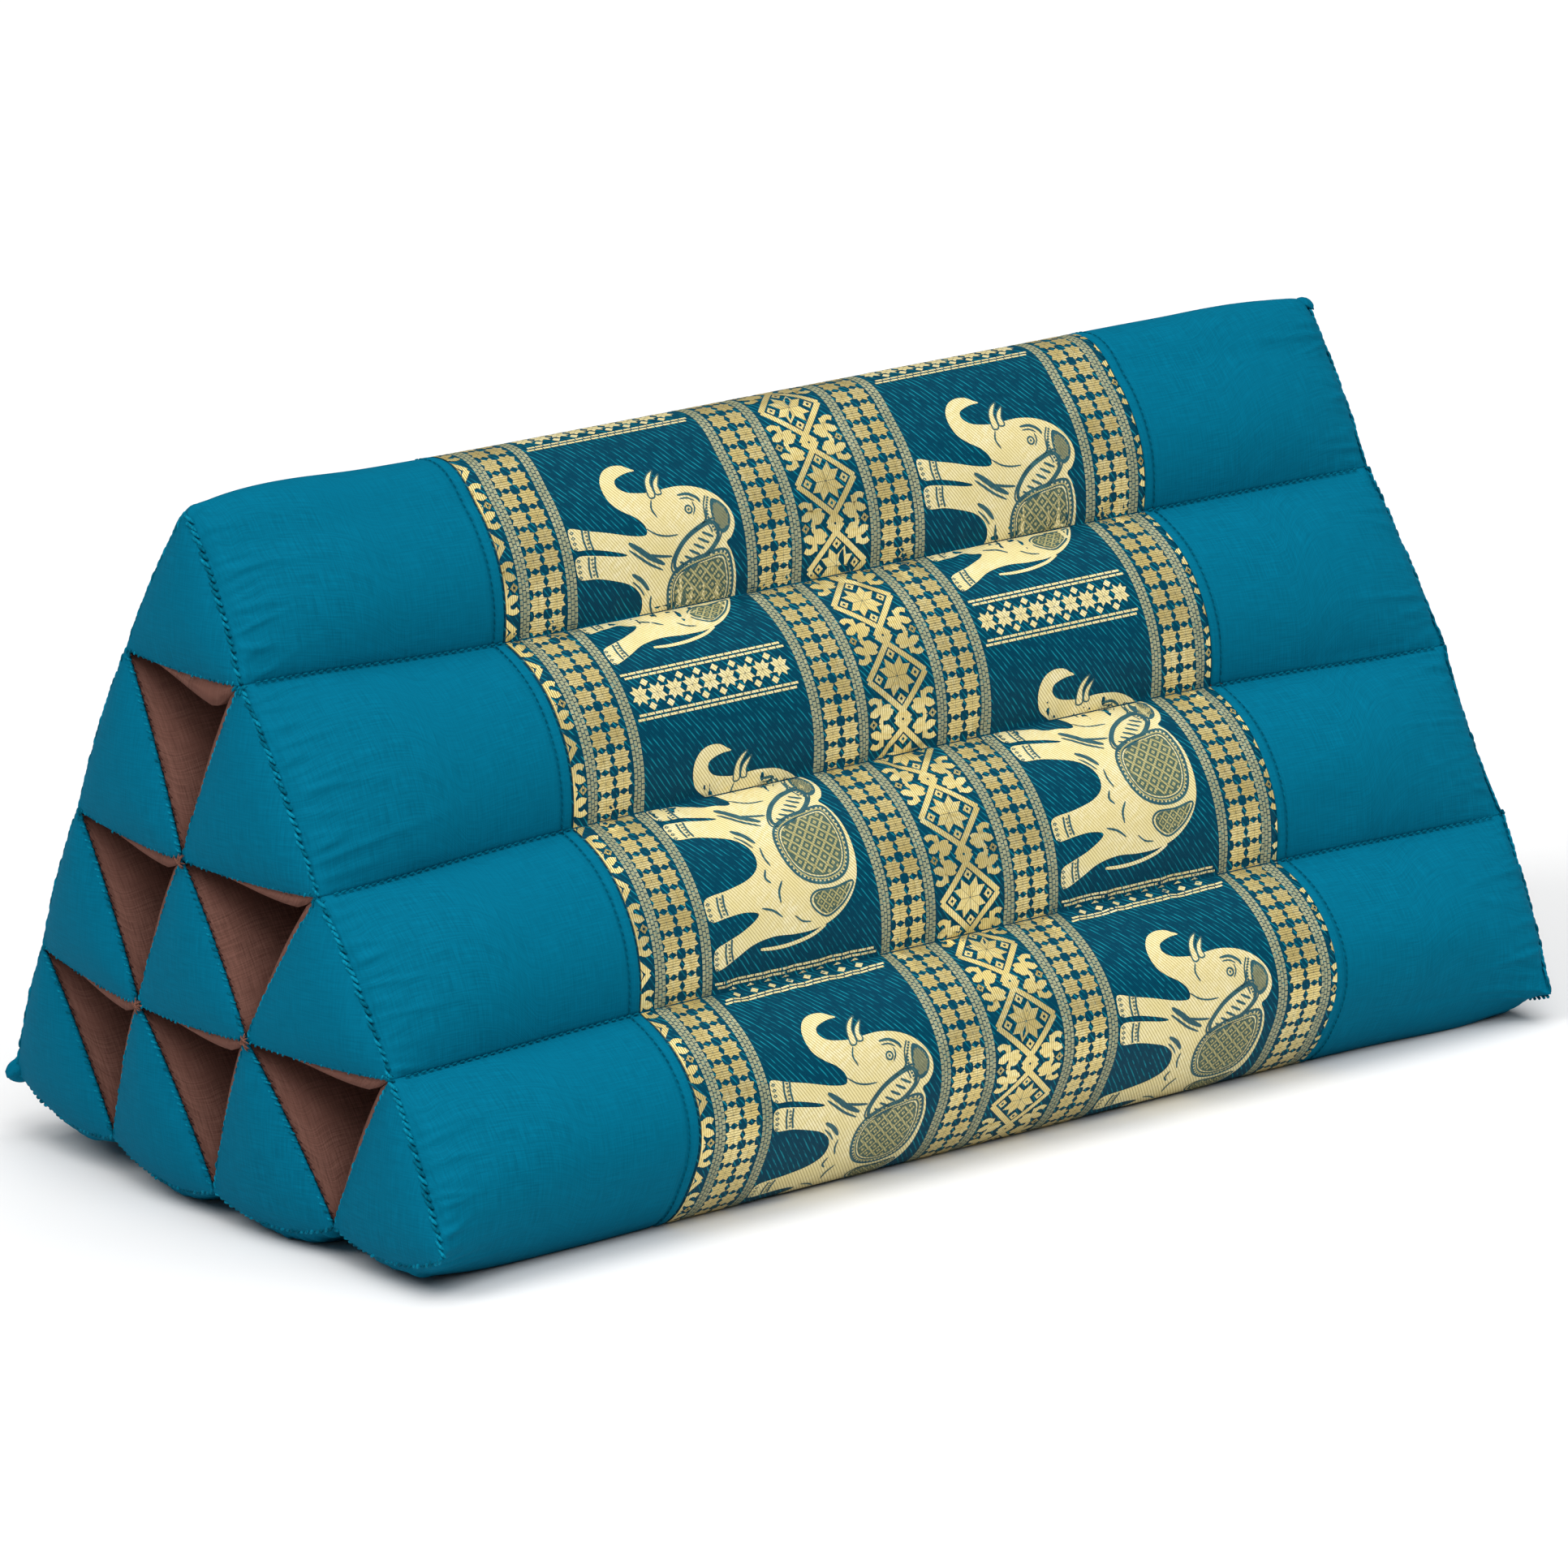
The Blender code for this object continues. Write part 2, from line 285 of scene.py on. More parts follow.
# %% Mesh helpers
def grid_faces(rows, columns, closed):
    """The quads of a grid as index pairs (row, column), an array of (n, 4, 2). A closed
    grid's last column is number `columns`, the first one again."""
    r, c = np.meshgrid(np.arange(rows - 1), np.arange(columns if closed else columns - 1),
                       indexing="ij")
    corners = [(r, c), (r, c + 1), (r + 1, c + 1), (r + 1, c)]
    return np.stack([np.stack(pair, axis=-1) for pair in corners], axis=2).reshape(-1, 4, 2)


def make_mesh(name, points, faces, uv, materials, index=None, smooth=True):
    """An object from points (n, 3), faces as lists of indices and one (u, v) for each face corner."""
    mesh = bpy.data.meshes.new(name)
    mesh.from_pydata(points.tolist(), [], faces)
    layer = mesh.uv_layers.new(name="cloth")
    layer.uv.foreach_set("vector", np.asarray(uv, dtype=np.float32).ravel())
    for material in materials:
        mesh.materials.append(material)
    if index is not None:
        mesh.polygons.foreach_set("material_index", np.asarray(index, dtype=np.int32))
    mesh.polygons.foreach_set("use_smooth", np.full(len(faces), smooth))
    mesh.update()
    piece = bpy.data.objects.new(name, mesh)
    bpy.context.scene.collection.objects.link(piece)
    return piece


def face_outward(piece):
    """Turns the faces of a closed mesh outward."""
    bm = bmesh.new()
    bm.from_mesh(piece.data)
    bmesh.ops.recalc_face_normals(bm, faces=bm.faces)
    bm.to_mesh(piece.data)
    bm.free()


# %% [markdown]
# ## The lattice of seams
# Near each end the seams leave the even lattice as the hand sewing did, and settle back
# to it over a few centimetres. Each face of a tube swells between its two seams: an
# outer face outward, and a pocket's wall until the three walls shut it.


# %% Sections of the tubes
def seam_joint(level, place, side, depth):
    """Points (n, 3) of one seam, at depths d in from one end, with g = exp(-(d/reach)^2):
    x = side (L/2 - d - inward g), y = W/(2R)(level - 2 place) - forward g,
    z = lift + H(1 - level/R) + up g."""
    inward, forward, up = np.array(ENDS[side][1][level, place]) / 1000
    settle = np.exp(-((depth / SETTLE_REACH) ** 2))
    x = side * (LENGTH / 2 - depth - inward * settle)
    y = WIDTH / (2 * ROWS) * (level - 2 * place) - forward * settle
    z = LIFT + HEIGHT * (1 - level / ROWS) + up * settle
    return np.stack((x, y, z), axis=-1)


def tube_corners(row, column, side, depth):
    """The top, back and front seam of one tube."""
    return (
        seam_joint(row - 1, column - 1, side, depth),
        seam_joint(row, column - 1, side, depth),
        seam_joint(row, column, side, depth),
    )


def tube_faces(row, column):
    """What the back, lower and front face of a tube is."""
    back = OUTER if column == 1 else WALL
    lower = FLOOR if row == ROWS else WALL
    front = OUTER if column == row else WALL
    return back, lower, front


def roundness(depth):
    """0 at the end seam and 1 where a tube is fully round: sqrt(1 - (1 - d/reach)^2)."""
    return np.sqrt(1 - (1 - np.minimum(depth / SWELL_REACH, 1)) ** 2)


def profile_of(t):
    """The swelling's profile, 1 - |2t - 1|^p."""
    return 1 - np.abs(2 * t - 1) ** ROUNDNESS


def outer_face(start, end, edge, full, depth, t):
    """Points (depths, t, 3): start + (end - start) t + n s profile(t), with n outward
    and s = edge + (full - edge) roundness(d)."""
    along = (end - start)[:, 1:]
    outward = np.stack((0 * along[:, 0], -along[:, 1], along[:, 0]), axis=-1)
    outward /= np.hypot(along[:, 0], along[:, 1])[:, None]
    swell = edge + (full - edge) * roundness(depth)
    line = start[:, None] + (end - start)[:, None] * t[None, :, None]
    return line + outward[:, None] * (swell[:, None] * profile_of(t)[None])[..., None]


def lip_of(row, face, depth, t):
    """How far the brown cloth at a pocket's mouth hangs into it, (depths, t): up to the
    lip's width w along the wall, and falling off inside as exp(-(d/reach)^2)."""
    if face == 1:  # over the pocket, wider towards the front
        width = LIP_OVER_FIRST if row == 1 else LIP_OVER
        along = width * smooth_step((t - 0.12) / 0.75)
    elif face == 0:  # on its front side
        along = LIP_SIDE * (1 - 0.5 * smooth_step((t - 0.3) / 0.7))
    else:  # behind it the wall is stuffed round instead, b profile(t) (1 - exp(-d/reach))
        return BULGE_BACK * profile_of(t)[None] * (1 - np.exp(-depth / BULGE_REACH))[:, None]
    return along[None] * np.exp(-((depth / LIP_REACH) ** 2))[:, None]


def smooth_step(u):
    """3 u^2 - 2 u^3 between 0 and 1."""
    u = np.clip(u, 0, 1)
    return 3 * u**2 - 2 * u**3


def wall_face(start, end, far, depth, t, extra):
    """Points (depths, t, 3) of a pocket's wall: it moves from its chord towards the
    broken line through the pocket's middle by the share min(s profile(t) / room, 1)."""
    t = t[None, :, None]
    line = start[:, None] + (end - start)[:, None] * t
    middle = ((start + end + far) / 3)[:, None]
    to_middle = start[:, None] + (middle - start[:, None]) * 2 * t
    from_middle = middle + (end[:, None] - middle) * (2 * t - 1)
    inward = np.where(t < 0.5, to_middle, from_middle) - line
    inward[..., 0] = 0
    room = np.maximum(np.linalg.norm(inward, axis=-1, keepdims=True), GAP)
    share = (depth / POCKET_DEPTH) ** WALL_CURVE
    swell = WALL_EDGE_SWELL + (POCKET_RADIUS - WALL_EDGE_SWELL) * share
    reach = swell[:, None, None] * profile_of(t) + extra[..., None]
    return line + inward * np.minimum(reach / room, 1)


def round_off(ring, middle, corner, reach, angle, amount):
    """Draws rings round a corner without a seam. A distance r from the middle becomes
    r (1 + a (reach/r - 1)), with a = amount (1 + cos(pi turn/angle)) / 2."""
    arms = (ring - middle[:, None])[..., 1:]
    length = np.hypot(arms[..., 0], arms[..., 1])
    aim = (corner - middle)[:, 1:]
    cosine = np.einsum("dnk,dk->dn", arms, aim) / (length * np.hypot(aim[:, 0], aim[:, 1])[:, None])
    turn = np.arccos(np.clip(cosine, -1, 1))
    share = amount[:, None] * np.where(turn < angle, (1 + np.cos(np.pi * turn / angle)) / 2, 0)
    rounded = ring.copy()
    rounded[..., 1:] = middle[:, None, 1:] + arms * (1 + share * (reach / length - 1))[..., None]
    return rounded


def tube_rings(row, column, side, depth, outer_steps, wall_steps, lips=True):
    """Rings (depths, points, 3) of one tube, the kind of each point's face, and where
    the point lies along that face, from 0 to 1."""
    corners = tube_corners(row, column, side, depth)
    kinds = tube_faces(row, column)
    far_joints = ((row - 1, column - 2), (row + 1, column), (row - 1, column))
    faces, names, places = [], [], []
    for i, (kind, far) in enumerate(zip(kinds, far_joints)):
        start, end = corners[i], corners[(i + 1) % 3]
        steps = wall_steps if kind == WALL else outer_steps
        t = np.arange(steps) / steps
        if kind == WALL:
            extra = lip_of(row, i, depth, t) * lips
            faces.append(wall_face(start, end, seam_joint(*far, side, depth), depth, t, extra))
        elif kind == FLOOR:
            faces.append(outer_face(start, end, FLOOR_EDGE_SWELL, FLOOR_SWELL, depth, t))
        else:
            faces.append(outer_face(start, end, EDGE_SWELL, OUTER_SWELL, depth, t))
        names += [kind] * steps
        places.append(t)
    bow = END_BOW.get((row, side), 0.0) * np.exp(-((depth / SETTLE_REACH) ** 2))
    if column == row and bow.any():
        t = np.arange(outer_steps) / outer_steps
        faces[2][..., 0] -= side * bow[:, None] * profile_of(t)[None]
    ring = np.concatenate(faces, axis=1)
    middle = sum(corners) / 3
    seamless = {
        (1, 1): (corners[0], RIDGE_REACH, RIDGE_ANGLE),
        (ROWS, 1): (corners[1], BASE_REACH, BASE_ANGLE),
        (ROWS, ROWS): (corners[2], BASE_REACH, BASE_ANGLE),
    }
    if (row, column) in seamless:
        ring = round_off(ring, middle, *seamless[row, column], roundness(depth))
    ring[..., 2] = np.maximum(ring[..., 2], 0)
    return ring, np.array(names), np.concatenate(places)


# %% [markdown]
# ## The ten tubes
# Each tube is a closed body from end seam to end seam. Its outer faces are teal and the
# walls of its pockets brown. Under the band it is drawn in a little.

# %% Tubes
OUTER_STEPS = 90
WALL_STEPS = 18
TUBE_DEPTHS = np.concatenate((
    np.linspace(0, 0.012, 9)[:-1],
    np.linspace(0.012, 0.040, 13)[:-1],
    np.linspace(0.040, LENGTH / 2 - BAND_HALF - 0.0070, 15),
    LENGTH / 2 - BAND_HALF - np.array((0.0056, 0.0050, 0.0045, 0.0041, 0.0037, 0.0033, 0.0028,
                                       0.0018, 0.0008, 0.0002)),
))
UNDER_BAND = np.array((LENGTH / 2 - BAND_HALF + 0.0003, LENGTH / 2 - BAND_HALF + 0.003))
RECESS = 0.93  # how far a section shrinks under the band
CAP_RING = 0.55
LIP_INSIDE = 0.975  # where the brown cloth goes under the end patch
LIP_ROLL = 0.0008
MACHINE_LINE_AT = 0.0040
MACHINE_DENT = 0.0006
MACHINE_HEM = 0.0002
FOLD_PITCH = 0.0034
FOLD_HEIGHT = 0.00115
DENT_HEIGHT = 0.0009


def grid_normals(grid):
    """Unit normals of a grid closed along its second axis, by central differences."""
    along = np.gradient(grid, axis=0)
    round_it = np.roll(grid, -1, axis=1) - np.roll(grid, 1, axis=1)
    normal = np.cross(round_it, along)
    normal /= np.maximum(np.linalg.norm(normal, axis=-1, keepdims=True), 1e-12)
    centre = grid.mean(axis=(0, 1))
    outward = np.sign(np.mean(np.sum(normal * (grid - centre), axis=-1)))
    return normal * outward


def puckered(rings, kinds, depth, place):
    """Gathers the outer faces at the end seam. Each fold is a ridge of height a across
    the seam: a exp(-((s - s0 - slant d) / w)^2) (1 - exp(-d / rise)) exp(-(d / reach)^2),
    with s measured round the tube. Broad soft dents are added the same way."""
    chance = np.random.default_rng(100 * place[0] + 10 * place[1] + (place[2] > 0))
    normal = grid_normals(rings)
    step = np.linalg.norm(np.diff(rings[0], axis=0, append=rings[0][:1]), axis=1)
    s = np.concatenate(((0,), np.cumsum(step)[:-1]))
    height = np.zeros(rings.shape[:2])
    total = step.sum()
    count = int(total / FOLD_PITCH)
    start = (np.arange(count) + chance.uniform(-0.35, 0.35, count)) * total / count
    slant = chance.normal(0, 0.18, count)
    width = chance.uniform(0.0009, 0.0017, count)
    reach = chance.uniform(0.006, 0.018, count) * np.where(chance.uniform(size=count) < 0.25, 2.2, 1)
    size = chance.uniform(0.25, 1.0, count) * FOLD_HEIGHT
    d = depth[:, None]
    for s0, lean, w, far, a in zip(start, slant, width, reach, size):
        off = (s[None] - s0 - lean * d + total / 2) % total - total / 2
        height += a * np.exp(-((off / w) ** 2)) * (1 - np.exp(-d / 0.0015)) * np.exp(-((d / far) ** 2))
    for _ in range(14):
        s0, d0 = chance.uniform(0, total), chance.uniform(0.01, 0.10)
        off = (s[None] - s0 + total / 2) % total - total / 2
        wide, deep = chance.uniform(0.007, 0.016), chance.uniform(0.012, 0.03)
        bump = np.exp(-((off / wide) ** 2) - ((d - d0) / deep) ** 2)
        height += chance.uniform(-1, 1) * DENT_HEIGHT * bump
    if np.all(kinds == WALL):
        return rings
    edges = np.flatnonzero(kinds != np.roll(kinds, 1))
    far = np.abs((np.arange(len(kinds))[:, None] - edges[None] + len(kinds) // 2) % len(kinds)
                 - len(kinds) // 2).min(axis=1)
    at_seam = np.minimum(far / 4, 1)
    height *= at_seam * (kinds != WALL)
    height *= 1 - np.exp(-((depth[-1] - depth) / 0.006) ** 2)[:, None]
    dent = np.exp(-((depth[-1] - depth - MACHINE_LINE_AT) / 0.0007) ** 2)[:, None]
    hem = np.exp(-((depth[-1] - depth - MACHINE_LINE_AT / 2) / 0.0014) ** 2)[:, None]
    height += (MACHINE_HEM * hem - MACHINE_DENT * dent) * (kinds != WALL)
    return rings + normal * height[..., None]


def drawn_in(rings, kinds, share):
    """Moves the points of outer faces towards the section's middle."""
    middle = rings.mean(axis=1, keepdims=True)
    moved = middle + (rings - middle) * share
    return np.where((kinds == WALL)[None, :, None], rings, moved)


def tube(row, column):
    """One stuffed tube."""
    sides = []
    for side in (LEFT, RIGHT):
        rings, kinds, _ = tube_rings(row, column, side, TUBE_DEPTHS, OUTER_STEPS, WALL_STEPS)
        rings = puckered(rings, kinds, TUBE_DEPTHS, (row, column, side))
        under, _, _ = tube_rings(row, column, side, UNDER_BAND, OUTER_STEPS, WALL_STEPS)
        under = drawn_in(under, kinds, RECESS)
        edge, _, _ = tube_rings(row, column, side, np.zeros(1), OUTER_STEPS, WALL_STEPS, False)
        middle = edge.mean(axis=1, keepdims=True)
        folded = middle + (edge - middle) * LIP_INSIDE
        roll = (rings[:1] + folded) / 2 + (side * LIP_ROLL, 0, 0)
        inner = middle + (edge - middle) * CAP_RING
        sides.append(np.concatenate((inner, folded, roll, rings, under)))
    points = np.concatenate((sides[0], sides[1][::-1]))
    points[..., 2] = np.maximum(points[..., 2], 0)
    rows, columns = points.shape[:2]
    step = np.linalg.norm(np.diff(points, axis=1, append=points[:, :1]), axis=2)
    round_it = np.concatenate((np.zeros((rows, 1)), np.cumsum(step, axis=1)), axis=1)
    along = np.concatenate((points[..., 0], points[:, :1, 0]), axis=1)
    uv = np.stack((along, round_it), axis=-1)
    pairs = grid_faces(rows, columns, True)
    index = (kinds[pairs[:, 0, 1] % columns] == WALL).astype(int)
    flat = pairs[..., 0] * columns + pairs[..., 1] % columns
    faces = flat.tolist()
    corner_uv = uv[pairs[..., 0], pairs[..., 1]].reshape(-1, 2)
    tips = points[[0, -1]].mean(axis=1)
    for number, base in ((0, 0), (1, (rows - 1) * columns)):
        ring = np.arange(columns)
        tip = np.full(columns, rows * columns + number)
        faces += np.stack((base + ring, base + (ring + 1) % columns, tip), axis=1).tolist()
    index = np.concatenate((index, np.zeros(2 * columns, int)))
    corner_uv = np.concatenate((corner_uv, np.zeros((6 * columns, 2))))
    everything = np.concatenate((points.reshape(-1, 3), tips))
    name = f"stuffed_tube_{row}_{column}"
    piece = make_mesh(name, everything, faces, corner_uv, (TEAL, BROWN), index)
    face_outward(piece)
    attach(piece, "root")
    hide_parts(f"chamber_{row}_{column}")
    return piece


tubes = {place: tube(*place) for place in TUBES}
print("tubes", len(tubes), "points each", len(tubes[1, 1].data.vertices))

# %% [markdown]
# ## End patches
# A small triangle of cotton closes each end of each tube. It is puffed out by the
# stuffing and sewn down all round.

# %% Patches
PATCH_RINGS = np.array((0.12, 0.28, 0.44, 0.58, 0.70, 0.80, 0.88, 0.94, 0.98, 1.0))
PATCH_SHOULDER = 0.0075


def end_edges(row, column, side):
    """The three edges of a tube at its end seam, and what face each one belongs to."""
    ring, kinds, _ = tube_rings(row, column, side, np.zeros(1), OUTER_STEPS, WALL_STEPS, False)
    ring = ring[0]
    steps = [WALL_STEPS if kind == WALL else OUTER_STEPS for kind in tube_faces(row, column)]
    first = np.concatenate(((0,), np.cumsum(steps)))
    for face, kind in enumerate(tube_faces(row, column)):
        line = np.concatenate((ring[first[face] : first[face + 1]], ring[[first[face + 1] % len(ring)]]))
        yield face, kind, line, ring.mean(axis=0)


def puffed(disc, row, column, side):
    """How far the patch stands out at points (..., 3), from 0 to 1: the product over its
    three edges of 1 - exp(-q/shoulder), with q the distance to that edge."""
    share = np.ones(disc.shape[:-1])
    for _, _, line, middle in end_edges(row, column, side):
        q = np.linalg.norm(disc[..., None, 1:] - line[:, 1:], axis=-1).min(axis=-1)
        full = np.linalg.norm(middle[1:] - line[:, 1:], axis=-1).min()
        share *= (1 - np.exp(-q / PATCH_SHOULDER)) / (1 - np.exp(-full / PATCH_SHOULDER))
    return share


def patch(row, column, side):
    """One end patch, a closed sheet one cloth thick. It stands out by puff times a share
    that falls to nothing at each edge."""
    edge, _, _ = tube_rings(row, column, side, np.zeros(1), OUTER_STEPS, WALL_STEPS, False)
    edge = edge[0]
    middle = edge.mean(axis=0)
    r = PATCH_RINGS[:, None, None]
    out = np.array((side, 0, 0))
    disc = middle + (edge - middle) * r
    lift = PATCH_PUFF * np.where(r < 1, puffed(disc, row, column, side)[..., None], 0)
    outside = disc + out * (GAP + CLOTH + lift)
    inside = disc + out * (GAP + lift)
    points = np.concatenate((outside, inside[::-1]))
    rows, columns = points.shape[:2]
    pairs = grid_faces(rows, columns, True)
    faces = (pairs[..., 0] * columns + pairs[..., 1] % columns).tolist()
    uv = points[pairs[..., 0], pairs[..., 1] % columns][..., 1:].reshape(-1, 2)
    tips = middle + out * np.array(((GAP + CLOTH + PATCH_PUFF,), (GAP + PATCH_PUFF,)))
    for number, base in ((0, 0), (1, (rows - 1) * columns)):
        ring = np.arange(columns)
        tip = np.full(columns, rows * columns + number)
        faces += np.stack((base + ring, base + (ring + 1) % columns, tip), axis=1).tolist()
        flat = np.stack((points[-number, ring], points[-number, (ring + 1) % columns],
                         np.broadcast_to(tips[number], (columns, 3))), axis=1)
        uv = np.concatenate((uv, flat[..., 1:].reshape(-1, 2)))
    everything = np.concatenate((points.reshape(-1, 3), tips))
    name = f"end_patch_{ENDS[side][0]}_{row}_{column}"
    piece = make_mesh(name, everything, faces, uv, (PATCH_TEAL,))
    face_outward(piece)
    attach(piece, "root")
    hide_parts(f"patch_{ENDS[side][0]}_{row}_{column}")
    width, tall = np.ptp(edge[:, 1]), np.ptp(edge[:, 2])
    return piece


patches = {(*place, side): patch(*place, side) for place in TUBES for side in (LEFT, RIGHT)}
print("patches", len(patches))

# %% [markdown]
# ## The brocade band
# The band wraps the middle and is sewn down into every valley. Its cloth coordinates run
# along the cushion and round it, from the ridge down the front, so that the woven
# pattern follows the cloth, with the cloth that each seam swallows left out.

# %% Band surface
BAND_STEPS = 40
BAND_STATIONS = 141
# Faces round the outside, as (row, column, which face of the tube, walked backwards)
FRONT = [(row, row, 2) for row in range(1, ROWS + 1)]
BASE = [(ROWS, column, 1) for column in range(ROWS, 0, -1)]
BACK = [(row, 1, 0) for row in range(ROWS, 0, -1)]


def outline(side, depth):
    """The outside of the whole section, (depths, points, 3), from the ridge down the
    front, under the base and up the back."""
    pieces = []
    for row, column, face in FRONT + BASE + BACK:
        rings = tube_rings(row, column, side, depth, BAND_STEPS, BAND_STEPS)[0]
        line = rings[:, face * BAND_STEPS : (face + 1) * BAND_STEPS]
        last = rings[:, [((face + 1) * BAND_STEPS) % rings.shape[1]]]
        pieces.append(np.concatenate((line, last), axis=1)[:, ::-1][:, :-1])
    return np.concatenate(pieces, axis=1)


def band_surface():
    """The band's outside as a grid (stations, points, 3), and the stations."""
    x = np.linspace(-BAND_HALF, BAND_HALF, BAND_STATIONS)
    left = outline(LEFT, LENGTH / 2 + x[x < 0])
    right = outline(RIGHT, LENGTH / 2 - x[x >= 0])
    grid = np.concatenate((left, right))
    grid[..., 0] = x[:, None]
    return grid, x


PINCH_HEIGHT = 0.0009
PINCH_POINT_GAP = 0.0018  # between two points of the grid, round the band


def pinched(grid, x):
    """Gathers the band along its seams: a ripple of the distance q to the nearest seam,
    a sin(2 pi x / pitch + phase) exp(-q / reach) (1 - exp(-q / rise)), uneven along x."""
    chance = np.random.default_rng(7)
    normal = grid_normals(grid)
    place = np.arange(grid.shape[1])
    height = np.zeros(grid.shape[:2])
    for seam in SEAM_POINTS:
        q = np.abs((place - seam + grid.shape[1] // 2) % grid.shape[1] - grid.shape[1] // 2)
        q = q * PINCH_POINT_GAP
        ripple = sum(np.sin(2 * np.pi * x / pitch + chance.uniform(0, 6.3))
                     for pitch in (0.0083, 0.0127, 0.0213, 0.0371)) / 2
        fall = np.exp(-q / 0.0045) * (1 - np.exp(-q / 0.0012))
        height += PINCH_HEIGHT * ripple[:, None] * fall[None]
    return grid + normal * height[..., None]


SEAM_POINTS = [BAND_STEPS * face for face in (1, 2, 3, 5, 6, 7, 9, 10, 11)]
BAND_GRID, BAND_X = band_surface()
BAND_GRID = pinched(BAND_GRID, BAND_X)
BAND_NORMAL = grid_normals(BAND_GRID)
BAND_EDGE_DIP = 0.0004


def brocade_band():
    """The band as a closed sheet: the outside grid, and an inside one cloth below it."""
    edge = np.minimum(BAND_HALF - np.abs(BAND_X), 0.002) / 0.002
    dip = BAND_EDGE_DIP * (1 - np.sqrt(1 - (1 - edge) ** 2))
    outside = BAND_GRID - BAND_NORMAL * dip[:, None, None]
    inside = (BAND_GRID - BAND_NORMAL * CLOTH)[[-1, 0]]
    points = np.concatenate((outside, inside))
    rows, columns = points.shape[:2]
    step = np.linalg.norm(np.diff(BAND_GRID[BAND_STATIONS // 2], axis=0,
                                  append=BAND_GRID[BAND_STATIONS // 2, :1]), axis=1)
    round_it = np.concatenate(((0,), np.cumsum(step)))
    pairs = grid_faces(rows + 1, columns, True)
    wrapped = pairs[..., 0] % rows
    faces = (wrapped * columns + pairs[..., 1] % columns).tolist()
    x = points[wrapped, pairs[..., 1] % columns, 0]
    uv = np.stack((x, round_it[pairs[..., 1]]), axis=-1).reshape(-1, 2)
    piece = make_mesh("brocade_band_cloth", points.reshape(-1, 3), faces, uv, (BROCADE,))
    face_outward(piece)
    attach(piece, "root")
    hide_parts("brocade_band")
    print("band, mm round", round(1000 * round_it[-1]), "points", len(points) * columns)


brocade_band()

# %% [markdown]
# ## Woven figures
# The figures are woven in, so they lie on the band as thin layers of thread. Each one is
# drawn flat in millimetres, x along the cushion and t round it in the cloth, repeats
# every 120 mm of t, and is draped on the band by its cloth coordinates.

# %% Where the cloth lies
REPEAT_MM = 120.0
HALF_REPEATS = 4
FIGURE_EDGE_MM = 139.6
CORNER = BAND_STEPS  # points of the band's grid in one face
# Runs of cloth between two seams, as (first point, last point), counted from the ridge
RUNS = [(-5, -3), (-3, -2), (-2, -1), (-1, 1), (1, 2), (2, 3), (3, 5), (5, 6), (6, 7)]
# Cloth that each seam swallows, in mm, by the face boundary that it lies at
SWALLOWED = {-3: 6.0, -2: 6.0, -1: 6.0, 1: 10.5, 2: 2.0, 3: 6.5, 5: 6.0, 6: 6.0}


def cloth_runs():
    """For every run of cloth: grid positions k, and the cloth coordinate t in mm there.
    t is the arc length from the ridge, plus what the seams between have swallowed."""
    middle = BAND_GRID[BAND_STATIONS // 2] * 1000
    count = len(middle)
    k = np.arange(RUNS[0][0] * CORNER, RUNS[-1][1] * CORNER + 1)
    line = middle[k % count]
    length = np.concatenate(((0,), np.cumsum(np.linalg.norm(np.diff(line, axis=0), axis=1))))
    length -= length[k == 0]
    runs = []
    for first, last in RUNS:
        inside = (k >= first * CORNER) & (k <= last * CORNER)
        if first < 0 < last or first >= 0:
            extra = sum(v for seam, v in SWALLOWED.items() if 0 < seam <= first)
        else:
            extra = -sum(v for seam, v in SWALLOWED.items() if last <= seam < 0)
        runs.append((k[inside], length[inside] + extra))
    return runs


CLOTH_RUNS = cloth_runs()
print("cloth runs, mm", [(round(t[0], 1), round(t[-1], 1)) for _, t in CLOTH_RUNS])


def on_band(x, k):
    """Points and normals of the band at x in mm and grid position k, bilinear."""
    u = (x / 1000 + BAND_HALF) / (2 * BAND_HALF) * (BAND_STATIONS - 1)
    i = np.clip(np.floor(u).astype(int), 0, BAND_STATIONS - 2)
    j = np.floor(k).astype(int)
    a, b = (u - i)[:, None], (k - j)[:, None]
    count = BAND_GRID.shape[1]
    near, far = j % count, (j + 1) % count
    results = []
    for grid in (BAND_GRID, BAND_NORMAL):
        low = grid[i, near] * (1 - b) + grid[i, far] * b
        high = grid[i + 1, near] * (1 - b) + grid[i + 1, far] * b
        results.append(low * (1 - a) + high * a)
    return results


